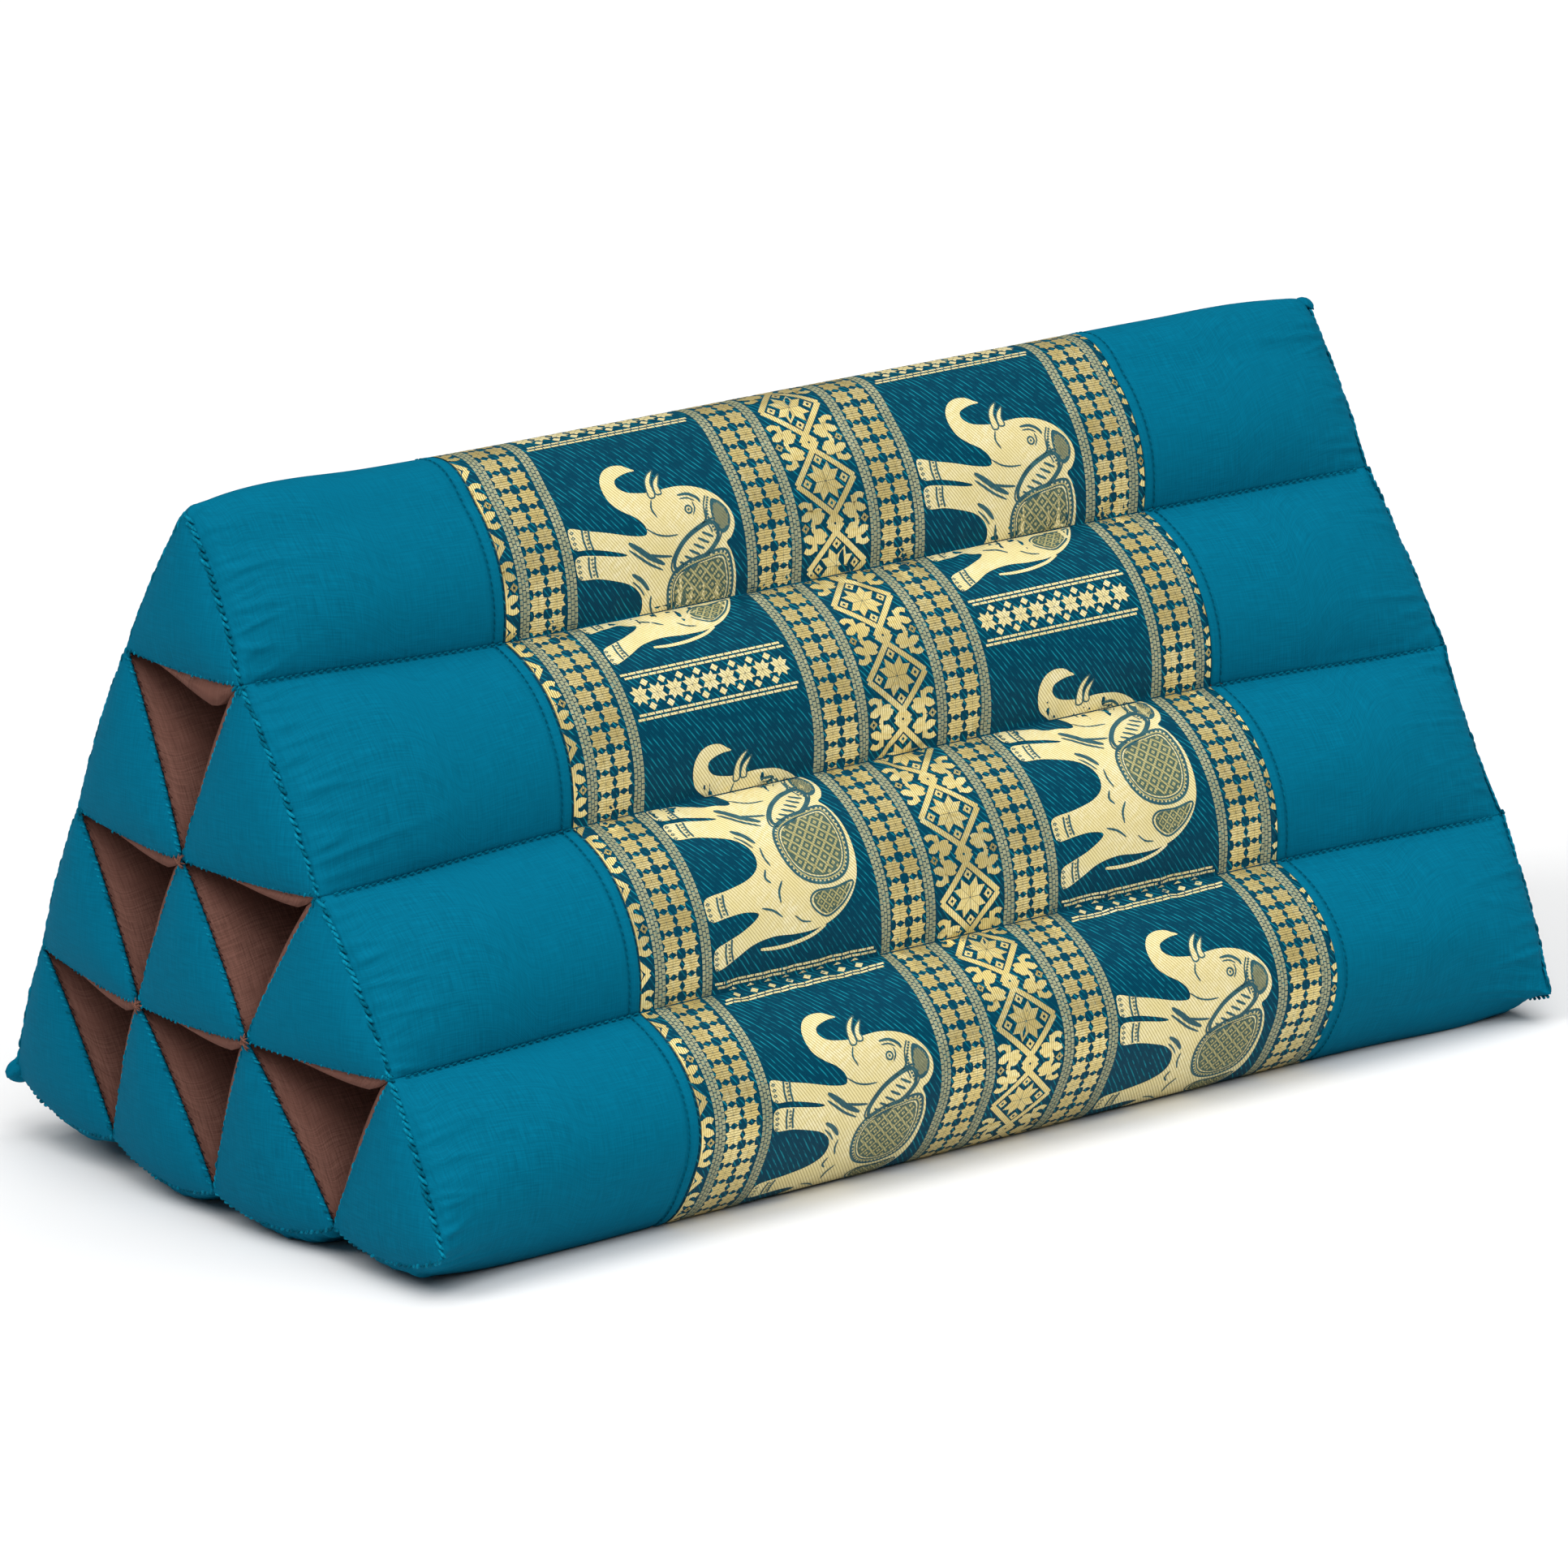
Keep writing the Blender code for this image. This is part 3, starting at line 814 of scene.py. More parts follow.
def drape(name, points, faces, lift_mm, material, repeats=True):
    """A layer of thread on the band. points (n, 2) are (x, t) in mm and faces (m, 3 or 4)
    their indices. Where a figure runs into a seam it is cut there."""
    points, faces = np.asarray(points, float), np.asarray(faces)
    if repeats:
        shifts = np.arange(-HALF_REPEATS, HALF_REPEATS + 1) * REPEAT_MM
        tiled = np.repeat(points[None], len(shifts), axis=0)
        tiled[..., 1] += shifts[:, None]
        faces = (faces[None] + (np.arange(len(shifts)) * len(points))[:, None, None])
        faces = faces.reshape(-1, faces.shape[-1])
        points = tiled.reshape(-1, 2)
    all_points, all_faces, all_uv, total = [], [], [], 0
    x_of = points[:, 0][faces]
    shown = (x_of.min(axis=1) < FIGURE_EDGE_MM) & (x_of.max(axis=1) > -FIGURE_EDGE_MM)
    t_of = points[:, 1][faces]
    for k, t in CLOTH_RUNS:
        low, high = t[0] + 0.3, t[-1] - 0.3
        here = faces[shown & (t_of.max(axis=1) > low) & (t_of.min(axis=1) < high)]
        if not len(here):
            continue
        used, flat = np.unique(here, return_inverse=True)
        x = np.clip(points[used, 0], -FIGURE_EDGE_MM, FIGURE_EDGE_MM)
        along = np.clip(points[used, 1], low, high)
        where, normal = on_band(x, np.interp(along, t, k))
        all_points.append(where + normal * (lift_mm / 1000))
        all_faces.append(flat.reshape(here.shape) + total)
        all_uv.append(np.stack((x, along), axis=-1) / 1000)
        total += len(used)
    everything, faces = np.concatenate(all_points), np.concatenate(all_faces)
    uv = np.concatenate(all_uv)
    side = np.cross(everything[faces[:, 1]] - everything[faces[:, 0]],
                    everything[faces[:, 2]] - everything[faces[:, 0]])
    flat_side = (uv[faces[:, 1], 0] - uv[faces[:, 0], 0]) * (uv[faces[:, 2], 1] - uv[faces[:, 0], 1])
    flat_side -= (uv[faces[:, 2], 0] - uv[faces[:, 0], 0]) * (uv[faces[:, 1], 1] - uv[faces[:, 0], 1])
    faces = np.where((flat_side > 0)[:, None], faces, faces[:, ::-1])
    good = np.linalg.norm(side, axis=1) > 1e-12
    faces = faces[good]
    piece = make_mesh(name, everything, faces.tolist(), uv[faces].reshape(-1, 2), (material,))
    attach(piece, "root")
    return piece


# %% [markdown]
# ### Drawing in the flat
# Small shapes are stacks of quads. A line is a strip of quads of a given width. A large
# shape is filled with triangles of a few millimetres, fine enough to follow the tubes.


# %% Flat shapes
def smooth_line(points, steps=6, closed=False):
    """A Catmull-Rom curve through points: ((2 p1) + (p2 - p0) u + (2 p0 - 5 p1 + 4 p2 - p3)
    u^2 + (3 p1 - p0 - 3 p2 + p3) u^3) / 2 for u from 0 to 1 in each span."""
    p = np.asarray(points, float)
    if closed:
        p = np.concatenate((p[-1:], p, p[:2]))
    else:
        p = np.concatenate((2 * p[:1] - p[1:2], p, 2 * p[-1:] - p[-2:-1]))
    u = (np.arange(steps) / steps)[None, :, None]
    a, b, c, d = (p[i : len(p) - 3 + i][:, None] for i in range(4))
    curve = (2 * b + (c - a) * u + (2 * a - 5 * b + 4 * c - d) * u**2
             + (3 * b - a - 3 * c + d) * u**3) / 2
    curve = curve.reshape(-1, 2)
    return curve if closed else np.concatenate((curve, p[-2:-1]))


LONGEST_SPAN_MM = 1.5


def stroke(points, width, closed=False, ends=1.0):
    """Quads (n, 4, 2) along a line. ends is the share of the width left at its tips."""
    p = np.asarray(points, float)
    if closed:
        p = np.concatenate((p, p[:1]))
    spans = np.linalg.norm(np.diff(p, axis=0), axis=1)
    if spans.max() > LONGEST_SPAN_MM:
        reach = np.concatenate(((0,), np.cumsum(spans)))
        count = int(np.ceil(reach[-1] / LONGEST_SPAN_MM)) + 1
        places = np.union1d(reach, np.linspace(0, reach[-1], count))
        p = np.stack([np.interp(places, reach, p[:, axis]) for axis in (0, 1)], axis=1)
    if closed:
        along = np.roll(p[:-1], -1, axis=0) - np.roll(p[:-1], 1, axis=0)
        along = np.concatenate((along, along[:1]))
    else:
        along = np.gradient(p, axis=0)
    along /= np.maximum(np.linalg.norm(along, axis=1, keepdims=True), 1e-9)
    across = np.stack((-along[:, 1], along[:, 0]), axis=1) * width / 2
    if ends != 1.0:
        u = np.linspace(-1, 1, len(p))
        across *= (ends + (1 - ends) * np.sqrt(np.maximum(1 - u**2, 0)))[:, None]
    left, right = p + across, p - across
    return np.stack((left[:-1], left[1:], right[1:], right[:-1]), axis=1)


def turned(quads, times=4):
    """Copies of quads turned about the origin by equal angles."""
    angles = 2 * np.pi * np.arange(times) / times
    c, s = np.cos(angles), np.sin(angles)
    turn = np.stack((np.stack((c, -s), -1), np.stack((s, c), -1)), -2)
    return np.einsum("rij,nkj->rnki", turn, quads).reshape(-1, 4, 2)


def mirrored(quads, x=1, t=1):
    """The quads with a copy mirrored in x (x=-1) or in t (t=-1)."""
    return np.concatenate((quads, quads * np.array((x, t))))


def placed(quads, centres):
    """Copies of quads at each of the centres."""
    return (quads[None] + np.asarray(centres, float)[:, None, None]).reshape(-1, 4, 2)


def star(r, gap=0.15, fat=0.0):
    """A star of eight leaves, each (0,0) (r/2,0) (r,r/2) (r/2,r/2), drawn in by a gap. A fat
    star has its notches filled to 0.72 r on the axes and 0.62 r on the diagonals."""
    axis, slope = r * (0.5 + 0.22 * fat), r * (0.5 + 0.12 * fat)
    leaf = np.array(((0.0, 0.0), (axis, 0.0), (r, r / 2), (slope, slope)))
    middle = leaf.mean(axis=0)
    leaf = middle + (leaf - middle) * (1 - gap / r)
    pair = np.stack((leaf, leaf * (1, -1)))
    return turned(pair, 4)


def diamond(w, h, hole=0.0):
    """A diamond of half width w and half height h, hollow where hole is the share."""
    tips = np.array(((w, 0.0), (0.0, h), (-w, 0.0), (0.0, -h)))
    if not hole:
        return tips[None]
    inner = tips * hole
    return np.stack((tips, np.roll(tips, -1, 0), np.roll(inner, -1, 0), inner), axis=1)


def box(x0, t0, x1, t1):
    """One upright rectangle."""
    return np.array((((x0, t0), (x1, t0), (x1, t1), (x0, t1)),), float)


def scroll(cx, ct, r, start, sweep, width, shrink=0.72):
    """A volute: a spiral line from radius r down to (1 - shrink) r."""
    u = np.linspace(0, 1, 12)
    angle = start + sweep * u
    radius = r * (1 - shrink * u)
    line = np.stack((cx + radius * np.cos(angle), ct + radius * np.sin(angle)), axis=1)
    return stroke(line, width)


def quads_layer(name, quads, lift_mm, material):
    """Drapes loose quads."""
    quads = np.asarray(quads)
    faces = np.arange(len(quads) * 4).reshape(-1, 4)
    return drape(name, quads.reshape(-1, 2), faces, lift_mm, material)


def filled(outline_points, spacing=3.2):
    """Triangles inside a closed outline, with a grid of inner points."""
    ring = np.asarray(outline_points, float)
    low, high = ring.min(axis=0), ring.max(axis=0)
    gx, gt = np.meshgrid(np.arange(low[0], high[0], spacing), np.arange(low[1], high[1], spacing))
    inner = np.stack((gx.ravel(), gt.ravel()), axis=1)
    a, b = ring, np.roll(ring, -1, axis=0)
    px, pt = inner[:, :1], inner[:, 1:]
    crosses = (a[:, 1] > pt) != (b[:, 1] > pt)
    slope = (b[:, 0] - a[:, 0]) / np.where(b[:, 1] == a[:, 1], 1e-9, b[:, 1] - a[:, 1])
    hits = crosses & (px < a[:, 0] + (pt - a[:, 1]) * slope)
    inside = hits.sum(axis=1) % 2 == 1
    span = b - a
    share = np.einsum("nij,ij->ni", inner[:, None] - a[None], span)
    share = np.clip(share / np.maximum(np.sum(span**2, axis=1), 1e-9), 0, 1)
    nearest = a[None] + span[None] * share[..., None]
    clear = np.linalg.norm(inner[:, None] - nearest, axis=2).min(axis=1) > spacing * 0.35
    verts = [Vector(p) for p in np.concatenate((ring, inner[inside & clear]))]
    result = delaunay_2d_cdt(verts, [], [list(range(len(ring)))], 1, 1e-5)
    return np.array([tuple(v) for v in result[0]]), [tuple(f) for f in result[2]]


# %% Threads
def thread(name, base, dark, glint, period_mm, turn, roughness, metallic):
    """Figure thread: fine lines of float and tie, with a soft gloss, and painted sheen: random patches
    of a paler glint colour.
    """
    material, tree, shader = new_material(name, base, roughness, sheen=0.0, specular=0.35)
    place = cloth_mm(tree, turn)
    split = add(tree, "ShaderNodeSeparateXYZ", Vector=place.outputs["Vector"])
    scaled = add(tree, "ShaderNodeMath", {"operation": "DIVIDE", 1: period_mm},
                 in0=split.outputs["X"])
    wave = add(tree, "ShaderNodeMath", {"operation": "PINGPONG", 1: 0.5}, in0=scaled.outputs[0])
    line = ramp(tree, wave.outputs[0], 0.03, 0.22)
    # Painted sheen: the noise below lays the glint colour, a highlight colour, over the base in random
    # patches.
    uneven = noise(tree, cloth_mm(tree, turn, (0.5, 1.5)), 0.5, 2.0)
    clouds = noise(tree, cloth_mm(tree), 0.06, 2.0)
    body = mix_colours(tree, ramp(tree, uneven.outputs["Fac"], 0.35, 0.65), base, glint)
    painted_sheen = mix_colours(tree, ramp(tree, clouds.outputs["Fac"], 0.35, 0.7), body, base)
    tree.links.new(mix_colours(tree, line, dark, painted_sheen), shader.inputs["Base Color"])
    shader.inputs["Metallic"].default_value = metallic
    relief = add(tree, "ShaderNodeBump", {"Strength": 0.6, "Distance": 0.0002},
                 Height=wave.outputs[0])
    tree.links.new(relief.outputs["Normal"], shader.inputs["Normal"])
    return material


# The third colour of each thread is its painted glint, a highlight colour.
GOLD = thread("gold figure thread, brocaded", "E8DA9E", "B09C60", "F6ECC0", 1.0, 35, 0.45, 0.2)
DARK = thread("dark teal ground showing through, brocaded", "1A4F5A", "0A3A48", "3A6A6A",
              0.9, 35, 0.6, 0.0)
MUTED = thread("muted green cloth thread, brocaded", "3F584E", "2A463F", "5A6F5E", 0.9, 35, 0.6, 0.0)
STAR_GOLD = thread("old gold star thread, brocaded", "E2CC84", "98834A", "F6E8AE", 0.9, 90, 0.36, 0.6)
DEEP_GOLD = thread("deep gold column thread, brocaded", "EAD48A", "AC9450", "FCF0B6",
                   0.9, 0, 0.34, 0.6)
OLIVE = thread("olive net thread, brocaded", "A9A26C", "6C6A46", "C4BC86", 0.9, 35, 0.5, 0.1)
KHAKI = thread("khaki border thread, braided weave", "979A78", "656B52", "BDBB94", 0.6, 0,
               0.5, 0.1)

# %% [markdown]
# ### Star columns, braids and centre columns
# Pairs of small stars between braids run the whole way round, with a richer column of
# diamonds and scrolls in the middle and, cut off by the seams, at both sides.

# %% Columns
FABRIC_CENTRE_MM = 1.5
STAR_PITCH = 7.5
STARS = int(REPEAT_MM / STAR_PITCH)
star_rows = STAR_PITCH * (0.5 + np.arange(STARS))
star_pair = placed(star(3.68, 0.14, 0.85), [(-3.74, 0), (3.74, 0)])
star_columns = np.array((-123.75, -26.9, 26.9, 123.75)) + FABRIC_CENTRE_MM
centres = [(x, t) for x in star_columns for t in star_rows]
small_stars = placed(star_pair, centres)

BRICK = 2.0
bricks_round = int(REPEAT_MM / BRICK)
brick = box(-0.60, -0.82, 0.60, 0.82)
braid_centres = np.array((-133.1, -113.3, -36.8, -17.2, 17.2, 36.8, 113.3, 133.1))
braid_centres += FABRIC_CENTRE_MM
places = [(x + 1.42 * (strand - 1), BRICK * (i + 0.5 * (strand % 2)))
          for x in braid_centres for strand in range(3) for i in range(bricks_round)]
braids = placed(brick, places)

UNIT = 30.0
UNIT_START = 11.5
half_w, half_t, line_w = 12.4, 12.0, 2.1
small_w = half_w * (UNIT / 2 - half_t) / half_t
unit = [stroke([(0.0, -half_t), (half_w, 0.0)], line_w), stroke([(half_w, 0.0), (0, half_t)], line_w),
        stroke([(0.0, half_t), (small_w, UNIT / 2)], line_w),
        stroke([(small_w, UNIT / 2), (0, UNIT - half_t)], line_w)]
unit = [mirrored(part, x=-1) for part in unit]
unit.append(star(6.9, 0.28, 0.35))
unit.append(turned(placed(diamond(1.9, 1.9, 0.36), [(0, 7.9)]), 4))
unit.append(placed(diamond(1.5, 1.5, 0.4), [(0, UNIT / 2)]))
curls = [
    scroll(7.0, UNIT / 2 - 3.0, 2.6, -2.4, 5.4, 1.95, 0.66),
    scroll(11.5, UNIT / 2 - 5.8, 2.8, -0.6, -5.0, 2.05, 0.68),
    stroke(smooth_line([(4.2, 12.0), (6.2, 11.2), (9.0, 13.4), (9.8, 15.0)], 4), 1.9),
    placed(diamond(1.7, 1.7, 0.38), [(12.9, UNIT / 2)]),
    stroke(smooth_line([(9.4, 6.6), (9.6, 9.6), (11.6, 11.8), (13.9, 11.2)], 4), 1.85),
]
curls = np.concatenate(curls)
lower = curls * (1, -1) + (0, UNIT)
unit.append(mirrored(np.concatenate((curls, lower)), x=-1))
unit = np.concatenate(unit)
unit_places = [(x + FABRIC_CENTRE_MM, UNIT_START + UNIT * i)
               for x in (-150.0, 0.0, 150.0) for i in range(int(REPEAT_MM / UNIT))]
centre_columns = placed(unit, unit_places)
quads_layer("woven_small_stars", small_stars, 0.12, STAR_GOLD)
quads_layer("woven_braids", braids, 0.10, KHAKI)
quads_layer("woven_centre_columns", centre_columns, 0.13, DEEP_GOLD)
print("columns, quads", len(small_stars), len(braids), len(centre_columns))

# %% [markdown]
# ### Bars between the elephants
# Two dashed lines above and below a row of stars.

# %% Bars
bar = []
for x0, x1 in ((-108.5, -40.5), (42.0, 110.0)):
    dash_at = np.arange(x0 + 1.6, x1 - 1.0, 3.4)
    for t in (-8.4, -6.9, 6.9, 8.4):
        shift = 1.1 if abs(t) < 8 else 0.0
        bar.append(placed(box(-1.5, -0.42, 1.5, 0.42), [(x + shift, t) for x in dash_at]))
    star_at = np.linspace(x0 + 4.2, x1 - 4.2, 9)
    bar.append(placed(star(3.7, 0.2, 0.4), [(x, 0) for x in star_at]))
    between = (star_at[1:] + star_at[:-1]) / 2
    bar.append(placed(diamond(1.7, 1.5, 0.0), [(x, t) for x in between for t in (-4.4, 4.4)]))
bar = np.concatenate(bar) + np.array((0, -0.5))
quads_layer("woven_bars", bar, 0.12, GOLD)

# %% [markdown]
# ### Elephants
# A walking elephant in festival dress, a traditional figure of the region, in a drawing
# of its own. h runs from its trunk to its tail and v from its feet up, in millimetres.
# On the cloth it lies on its side, head towards the ridge.

# %% Elephant outlines
BODY = [
    (1.8, 34.2), (0.3, 31.6), (0.0, 27.4), (1.5, 23.4), (5.0, 20.6), (9.4, 19.8), (13.8, 21.0),
    (17.2, 24.4), (20.0, 28.6), (23.4, 31.4), (26.6, 31.0), (26.0, 25.0), (23.2, 15.0),
    (21.2, 7.0), (19.6, 2.0), (20.0, 0.2), (22.6, -0.3), (26.2, 0.0), (27.4, 1.8), (27.8, 7.0),
    (29.4, 14.0), (31.2, 20.0), (32.2, 21.4), (32.0, 18.0), (30.4, 10.0), (29.4, 3.4),
    (29.8, 0.8), (31.4, -0.2), (35.6, 0.0), (37.4, 1.6), (38.0, 8.0), (39.8, 15.0),
    (42.2, 21.4), (46.0, 25.6), (50.6, 26.8), (54.6, 25.2), (57.2, 20.0), (57.4, 11.0),
    (56.8, 4.0), (57.0, 1.0), (58.6, -0.2), (63.2, 0.0), (65.2, 1.6), (65.8, 8.0), (66.8, 15.0),
    (68.6, 20.4), (70.2, 19.6), (71.0, 13.0), (70.6, 6.0), (70.4, 2.0), (71.6, 0.4),
    (76.0, 0.3), (78.2, 2.0), (78.2, 9.0), (77.6, 17.0), (78.2, 26.0), (79.0, 35.0),
    (78.8, 44.0), (76.6, 52.0), (72.2, 58.6), (66.4, 63.2), (59.6, 65.8), (52.0, 66.8),
    (44.4, 66.6), (38.0, 65.2), (34.4, 63.6), (32.6, 66.0), (28.8, 68.2), (24.2, 68.0),
    (19.4, 65.4), (15.8, 61.4), (13.2, 56.0), (12.0, 50.0), (12.0, 44.4), (12.4, 39.0),
    (11.8, 33.4), (10.6, 28.8), (8.2, 26.2), (5.6, 26.6), (4.2, 29.4), (3.4, 33.0), (3.2, 36.2),
]
STRIDE = ((50.0, 4.0), (68.0, 4.0))  # past each h the feet step back by so much more
STRIDE_TOP = 22.0


def striding(points):
    """Moves the hind legs: h grows by a step times 1 - v/top below the belly."""
    p = np.array(points, float)
    fall = np.clip(1 - p[:, 1] / STRIDE_TOP, 0, 1.05)
    step = sum(size * (p[:, 0] > past) for past, size in STRIDE)
    return np.stack((p[:, 0] + step * fall, p[:, 1]), axis=1)


TUSKS = [
    [(14.0, 37.4), (11.2, 37.2), (8.0, 38.2), (5.6, 40.4), (4.6, 42.9), (6.6, 41.4), (9.2, 39.8),
     (13.6, 39.6)],
    [(13.2, 40.4), (10.6, 40.4), (8.4, 41.6), (6.4, 44.6), (8.4, 43.6), (10.6, 42.4), (13.2, 42.5)],
]
TAIL = [(78.2, 48.0), (80.6, 42.0), (82.0, 34.0), (82.2, 26.0), (81.6, 20.0)]
SADDLE = [(36.6, 62.6), (37.0, 54.0), (38.4, 46.0), (41.2, 40.2), (46.0, 37.4), (53.0, 37.6),
          (59.4, 40.6), (63.2, 46.0), (64.4, 53.0), (62.6, 59.4), (57.6, 63.2), (50.0, 65.0),
          (42.6, 64.8)]
RUMP = [(65.6, 62.0), (66.6, 54.0), (66.4, 46.4), (68.8, 43.2), (72.4, 44.4), (75.4, 49.0),
        (73.0, 55.2), (69.6, 59.4)]
EAR = [(26.6, 59.0), (28.2, 52.0), (31.4, 45.8), (36.2, 41.4), (39.8, 41.0), (40.2, 45.4),
       (38.2, 51.8), (35.0, 57.4), (31.0, 60.6)]
HEADPIECE = [(18.6, 61.6), (22.4, 59.8), (27.4, 60.0), (31.0, 62.4), (29.6, 65.6), (25.6, 67.0),
             (21.4, 65.6)]


def inset(points, share):
    """An outline drawn towards its middle."""
    p = np.asarray(points, float)
    middle = p.mean(axis=0)
    return middle + (p - middle) * share


def lattice(ring, pitch, width):
    """Two sets of short line pieces and a dot in each square, kept inside an outline."""
    ring = np.asarray(ring, float)
    low, high = ring.min(axis=0) - pitch, ring.max(axis=0) + pitch
    middle = (low + high) / 2
    n = int(max(high - low) / pitch) + 2
    i, j = np.meshgrid(np.arange(-n, n), np.arange(-n, n), indexing="ij")
    a = (i.ravel() + j.ravel()) * pitch / 2
    b = (i.ravel() - j.ravel()) * pitch / 2
    knots = middle + np.stack((a, b), axis=1)
    arm = np.array((pitch / 2, pitch / 2))
    cross = np.concatenate((stroke([(0, 0), arm], width), stroke([(0, 0), arm * (1, -1)], width)))
    dots = diamond(pitch * 0.17, pitch * 0.17)
    pieces = np.concatenate((placed(cross, knots), placed(dots, knots + (pitch / 2, 0))))
    p = pieces.mean(axis=1)
    a, b = ring, np.roll(ring, -1, axis=0)
    crosses = (a[:, 1] > p[:, 1:]) != (b[:, 1] > p[:, 1:])
    slope = (b[:, 0] - a[:, 0]) / np.where(b[:, 1] == a[:, 1], 1e-9, b[:, 1] - a[:, 1])
    hits = crosses & (p[:, :1] < a[:, 0] + (p[:, 1:] - a[:, 1]) * slope)
    return pieces[hits.sum(axis=1) % 2 == 1]


BOLDNESS = 1.35


def elephant_marks():
    """The dark marks and the olive nets over them, as two stacks of quads in (h, v)."""
    dark, net = [], []

    def line(points, width, ends=0.35, into=dark, closed=False):
        into.append(stroke(smooth_line(points, 5, closed), width * BOLDNESS, closed, ends))

    # Feet: two bands round each ankle, a row of links between them, and toenails
    for h, lean in ((23.6, 0.9), (33.4, 0.5), (65.4, -1.25), (82.4, -2.8)):
        for v in (5.6, 8.2):
            line([(h - 3.6 + lean * v / 8, v), (h + lean * v / 8, v - 0.5),
                  (h + 3.6 + lean * v / 8, v)], 0.55, 1.0)
        links = [(h - 2.6 + 1.3 * i + lean * 0.8, 6.8) for i in range(5)]
        dark.append(placed(diamond(0.42, 0.7, 0.3), links))
        nails = [(h - 2.6 + 1.9 * i + lean / 8, 1.2) for i in range(4)]
        dark.append(placed(diamond(0.65, 0.95, 0.45), nails))
    # Face: eye, lids, brow, cheek and mouth
    ring = np.stack((np.cos(np.linspace(0, 6.283, 13)[:-1]), np.sin(np.linspace(0, 6.283, 13)[:-1])), 1)
    line((20.8, 51.0) + ring * 1.35, 0.45, 1.0, closed=True)
    dark.append(placed(diamond(0.55, 0.55), [(20.8, 51.0)]))
    line([(18.4, 53.4), (20.8, 53.6), (23.0, 52.2)], 0.4)
    line([(15.2, 48.4), (15.4, 52.6), (17.4, 55.8), (19.2, 56.6)], 0.8)
    line([(16.6, 48.8), (16.8, 52.0), (18.2, 54.4)], 0.4)
    line([(21.6, 57.8), (24.6, 57.2), (27.0, 54.6), (28.0, 51.4)], 0.55)
    line([(15.0, 37.4), (18.2, 36.2), (21.6, 37.4)], 0.5)
    line([(24.6, 31.6), (27.2, 35.4), (28.4, 39.6), (28.6, 44.0)], 0.45)
    # Tusks are edged, so that they stand off the trunk
    for tusk in TUSKS:
        line(inset(tusk, 1.06), 0.4, 1.0, closed=True)
    # Straps over the shoulder, and muscle strokes on chest, belly and thigh
    line([(28.2, 23.0), (31.2, 27.0), (34.4, 31.0), (37.6, 36.6)], 1.5)
    line([(30.6, 22.6), (33.6, 26.4), (36.6, 30.4), (39.4, 35.6)], 0.7)
    line([(33.4, 30.6), (34.6, 35.0), (35.4, 40.0)], 0.7)
    line([(38.8, 22.6), (41.6, 26.4), (45.4, 29.4)], 1.2)
    line([(41.4, 22.6), (44.0, 25.4), (47.0, 27.6)], 0.5)
    line([(47.4, 30.2), (51.0, 30.0), (54.6, 31.2)], 0.55)
    line([(55.4, 28.6), (58.2, 27.4), (60.4, 29.0)], 0.65)
    line([(60.4, 33.6), (63.8, 31.2), (67.6, 30.8)], 0.65)
    line([(68.0, 22.6), (69.6, 27.0), (72.4, 30.4)], 0.6)
    line([(72.8, 35.6), (75.2, 38.4), (76.0, 42.0)], 0.45)
    # Ear: a dark edge, stripes, and a gold rim
    line(EAR, 1.0, 1.0, closed=True)
    line(inset(EAR, 1.14), 0.5, 1.0, closed=True)
    for i in range(6):
        h, v = 30.0 + 1.7 * i, 56.4 - 2.2 * i
        line([(h - 0.7, v - 2.4), (h + 0.6, v), (h + 1.6, v + 2.0)], 0.7)
    # Headpiece: a dark net in a gold rim, with a beaded band in front of it
    line([(17.2, 59.4), (20.8, 57.4), (25.6, 57.0), (30.0, 58.4)], 0.4, 1.0)
    beads = smooth_line([(18.0, 60.2), (21.6, 58.4), (26.0, 58.2), (30.6, 60.0)], 4)
    dark.append(placed(diamond(0.5, 0.6), beads))
    net.append(lattice(inset(HEADPIECE, 0.8), 1.5, 0.22))
    # Saddle cloth: edges, a dashed border, a lattice with a dot in each square
    line(SADDLE, 0.7, 1.0, closed=True)
    edge = smooth_line(inset(SADDLE, 0.93), 8, True)
    dashes = stroke(edge, 1.4, True)
    dark.append(dashes[::2])
    line(inset(SADDLE, 0.87), 0.5, 1.0, closed=True)
    net.append(lattice(inset(SADDLE, 0.78), 5.2, 0.85))
    net.append(lattice(inset(RUMP, 0.80), 3.4, 0.6))
    line(inset(SADDLE, 0.90), 0.4, 1.0, net, True)
    return dark, net


# %% Weave the elephants
ELEPHANT_TOP = 21.0
FEET_AT = (-109.0, 41.5)


def elephants(name, shape, lift_mm, material, outline_shape=False):
    """Drapes one drawing of (h, v) in both fields: x = feet + v, t = top + h."""
    if outline_shape:
        points, faces = filled(shape)
        faces = np.array(faces)
    else:
        shape = np.asarray(shape)
        points, faces = shape.reshape(-1, 2), np.arange(len(shape) * 4).reshape(-1, 4)
    both = [np.stack((feet + points[:, 1], ELEPHANT_TOP + points[:, 0]), axis=1) for feet in FEET_AT]
    faces = np.concatenate((faces, faces + len(points)))
    return drape(name, np.concatenate(both), faces, lift_mm, material)


marks, net_marks = elephant_marks()
marks.append(stroke(smooth_line(RUMP, 5, True), 0.7, True))
elephants("woven_elephants", smooth_line(striding(BODY), 5, True), 0.12, GOLD, True)
for number, tusk in enumerate(TUSKS, 1):
    elephants(f"woven_tusks_{number}", smooth_line(tusk, 5, True), 0.16, GOLD, True)
elephants("woven_tails", stroke(smooth_line(TAIL, 6), 1.3, ends=0.6), 0.12, GOLD)
elephants("woven_headpieces", smooth_line(HEADPIECE, 5, True), 0.16, DARK, True)
elephants("woven_saddle_cloths", smooth_line(inset(SADDLE, 0.81), 5, True), 0.17, MUTED, True)
elephants("woven_rump_cloths", smooth_line(inset(RUMP, 0.86), 5, True), 0.17, MUTED, True)
elephants("woven_elephant_marks", np.concatenate(marks), 0.20, DARK)
elephants("woven_elephant_nets", np.concatenate(net_marks), 0.24, OLIVE)

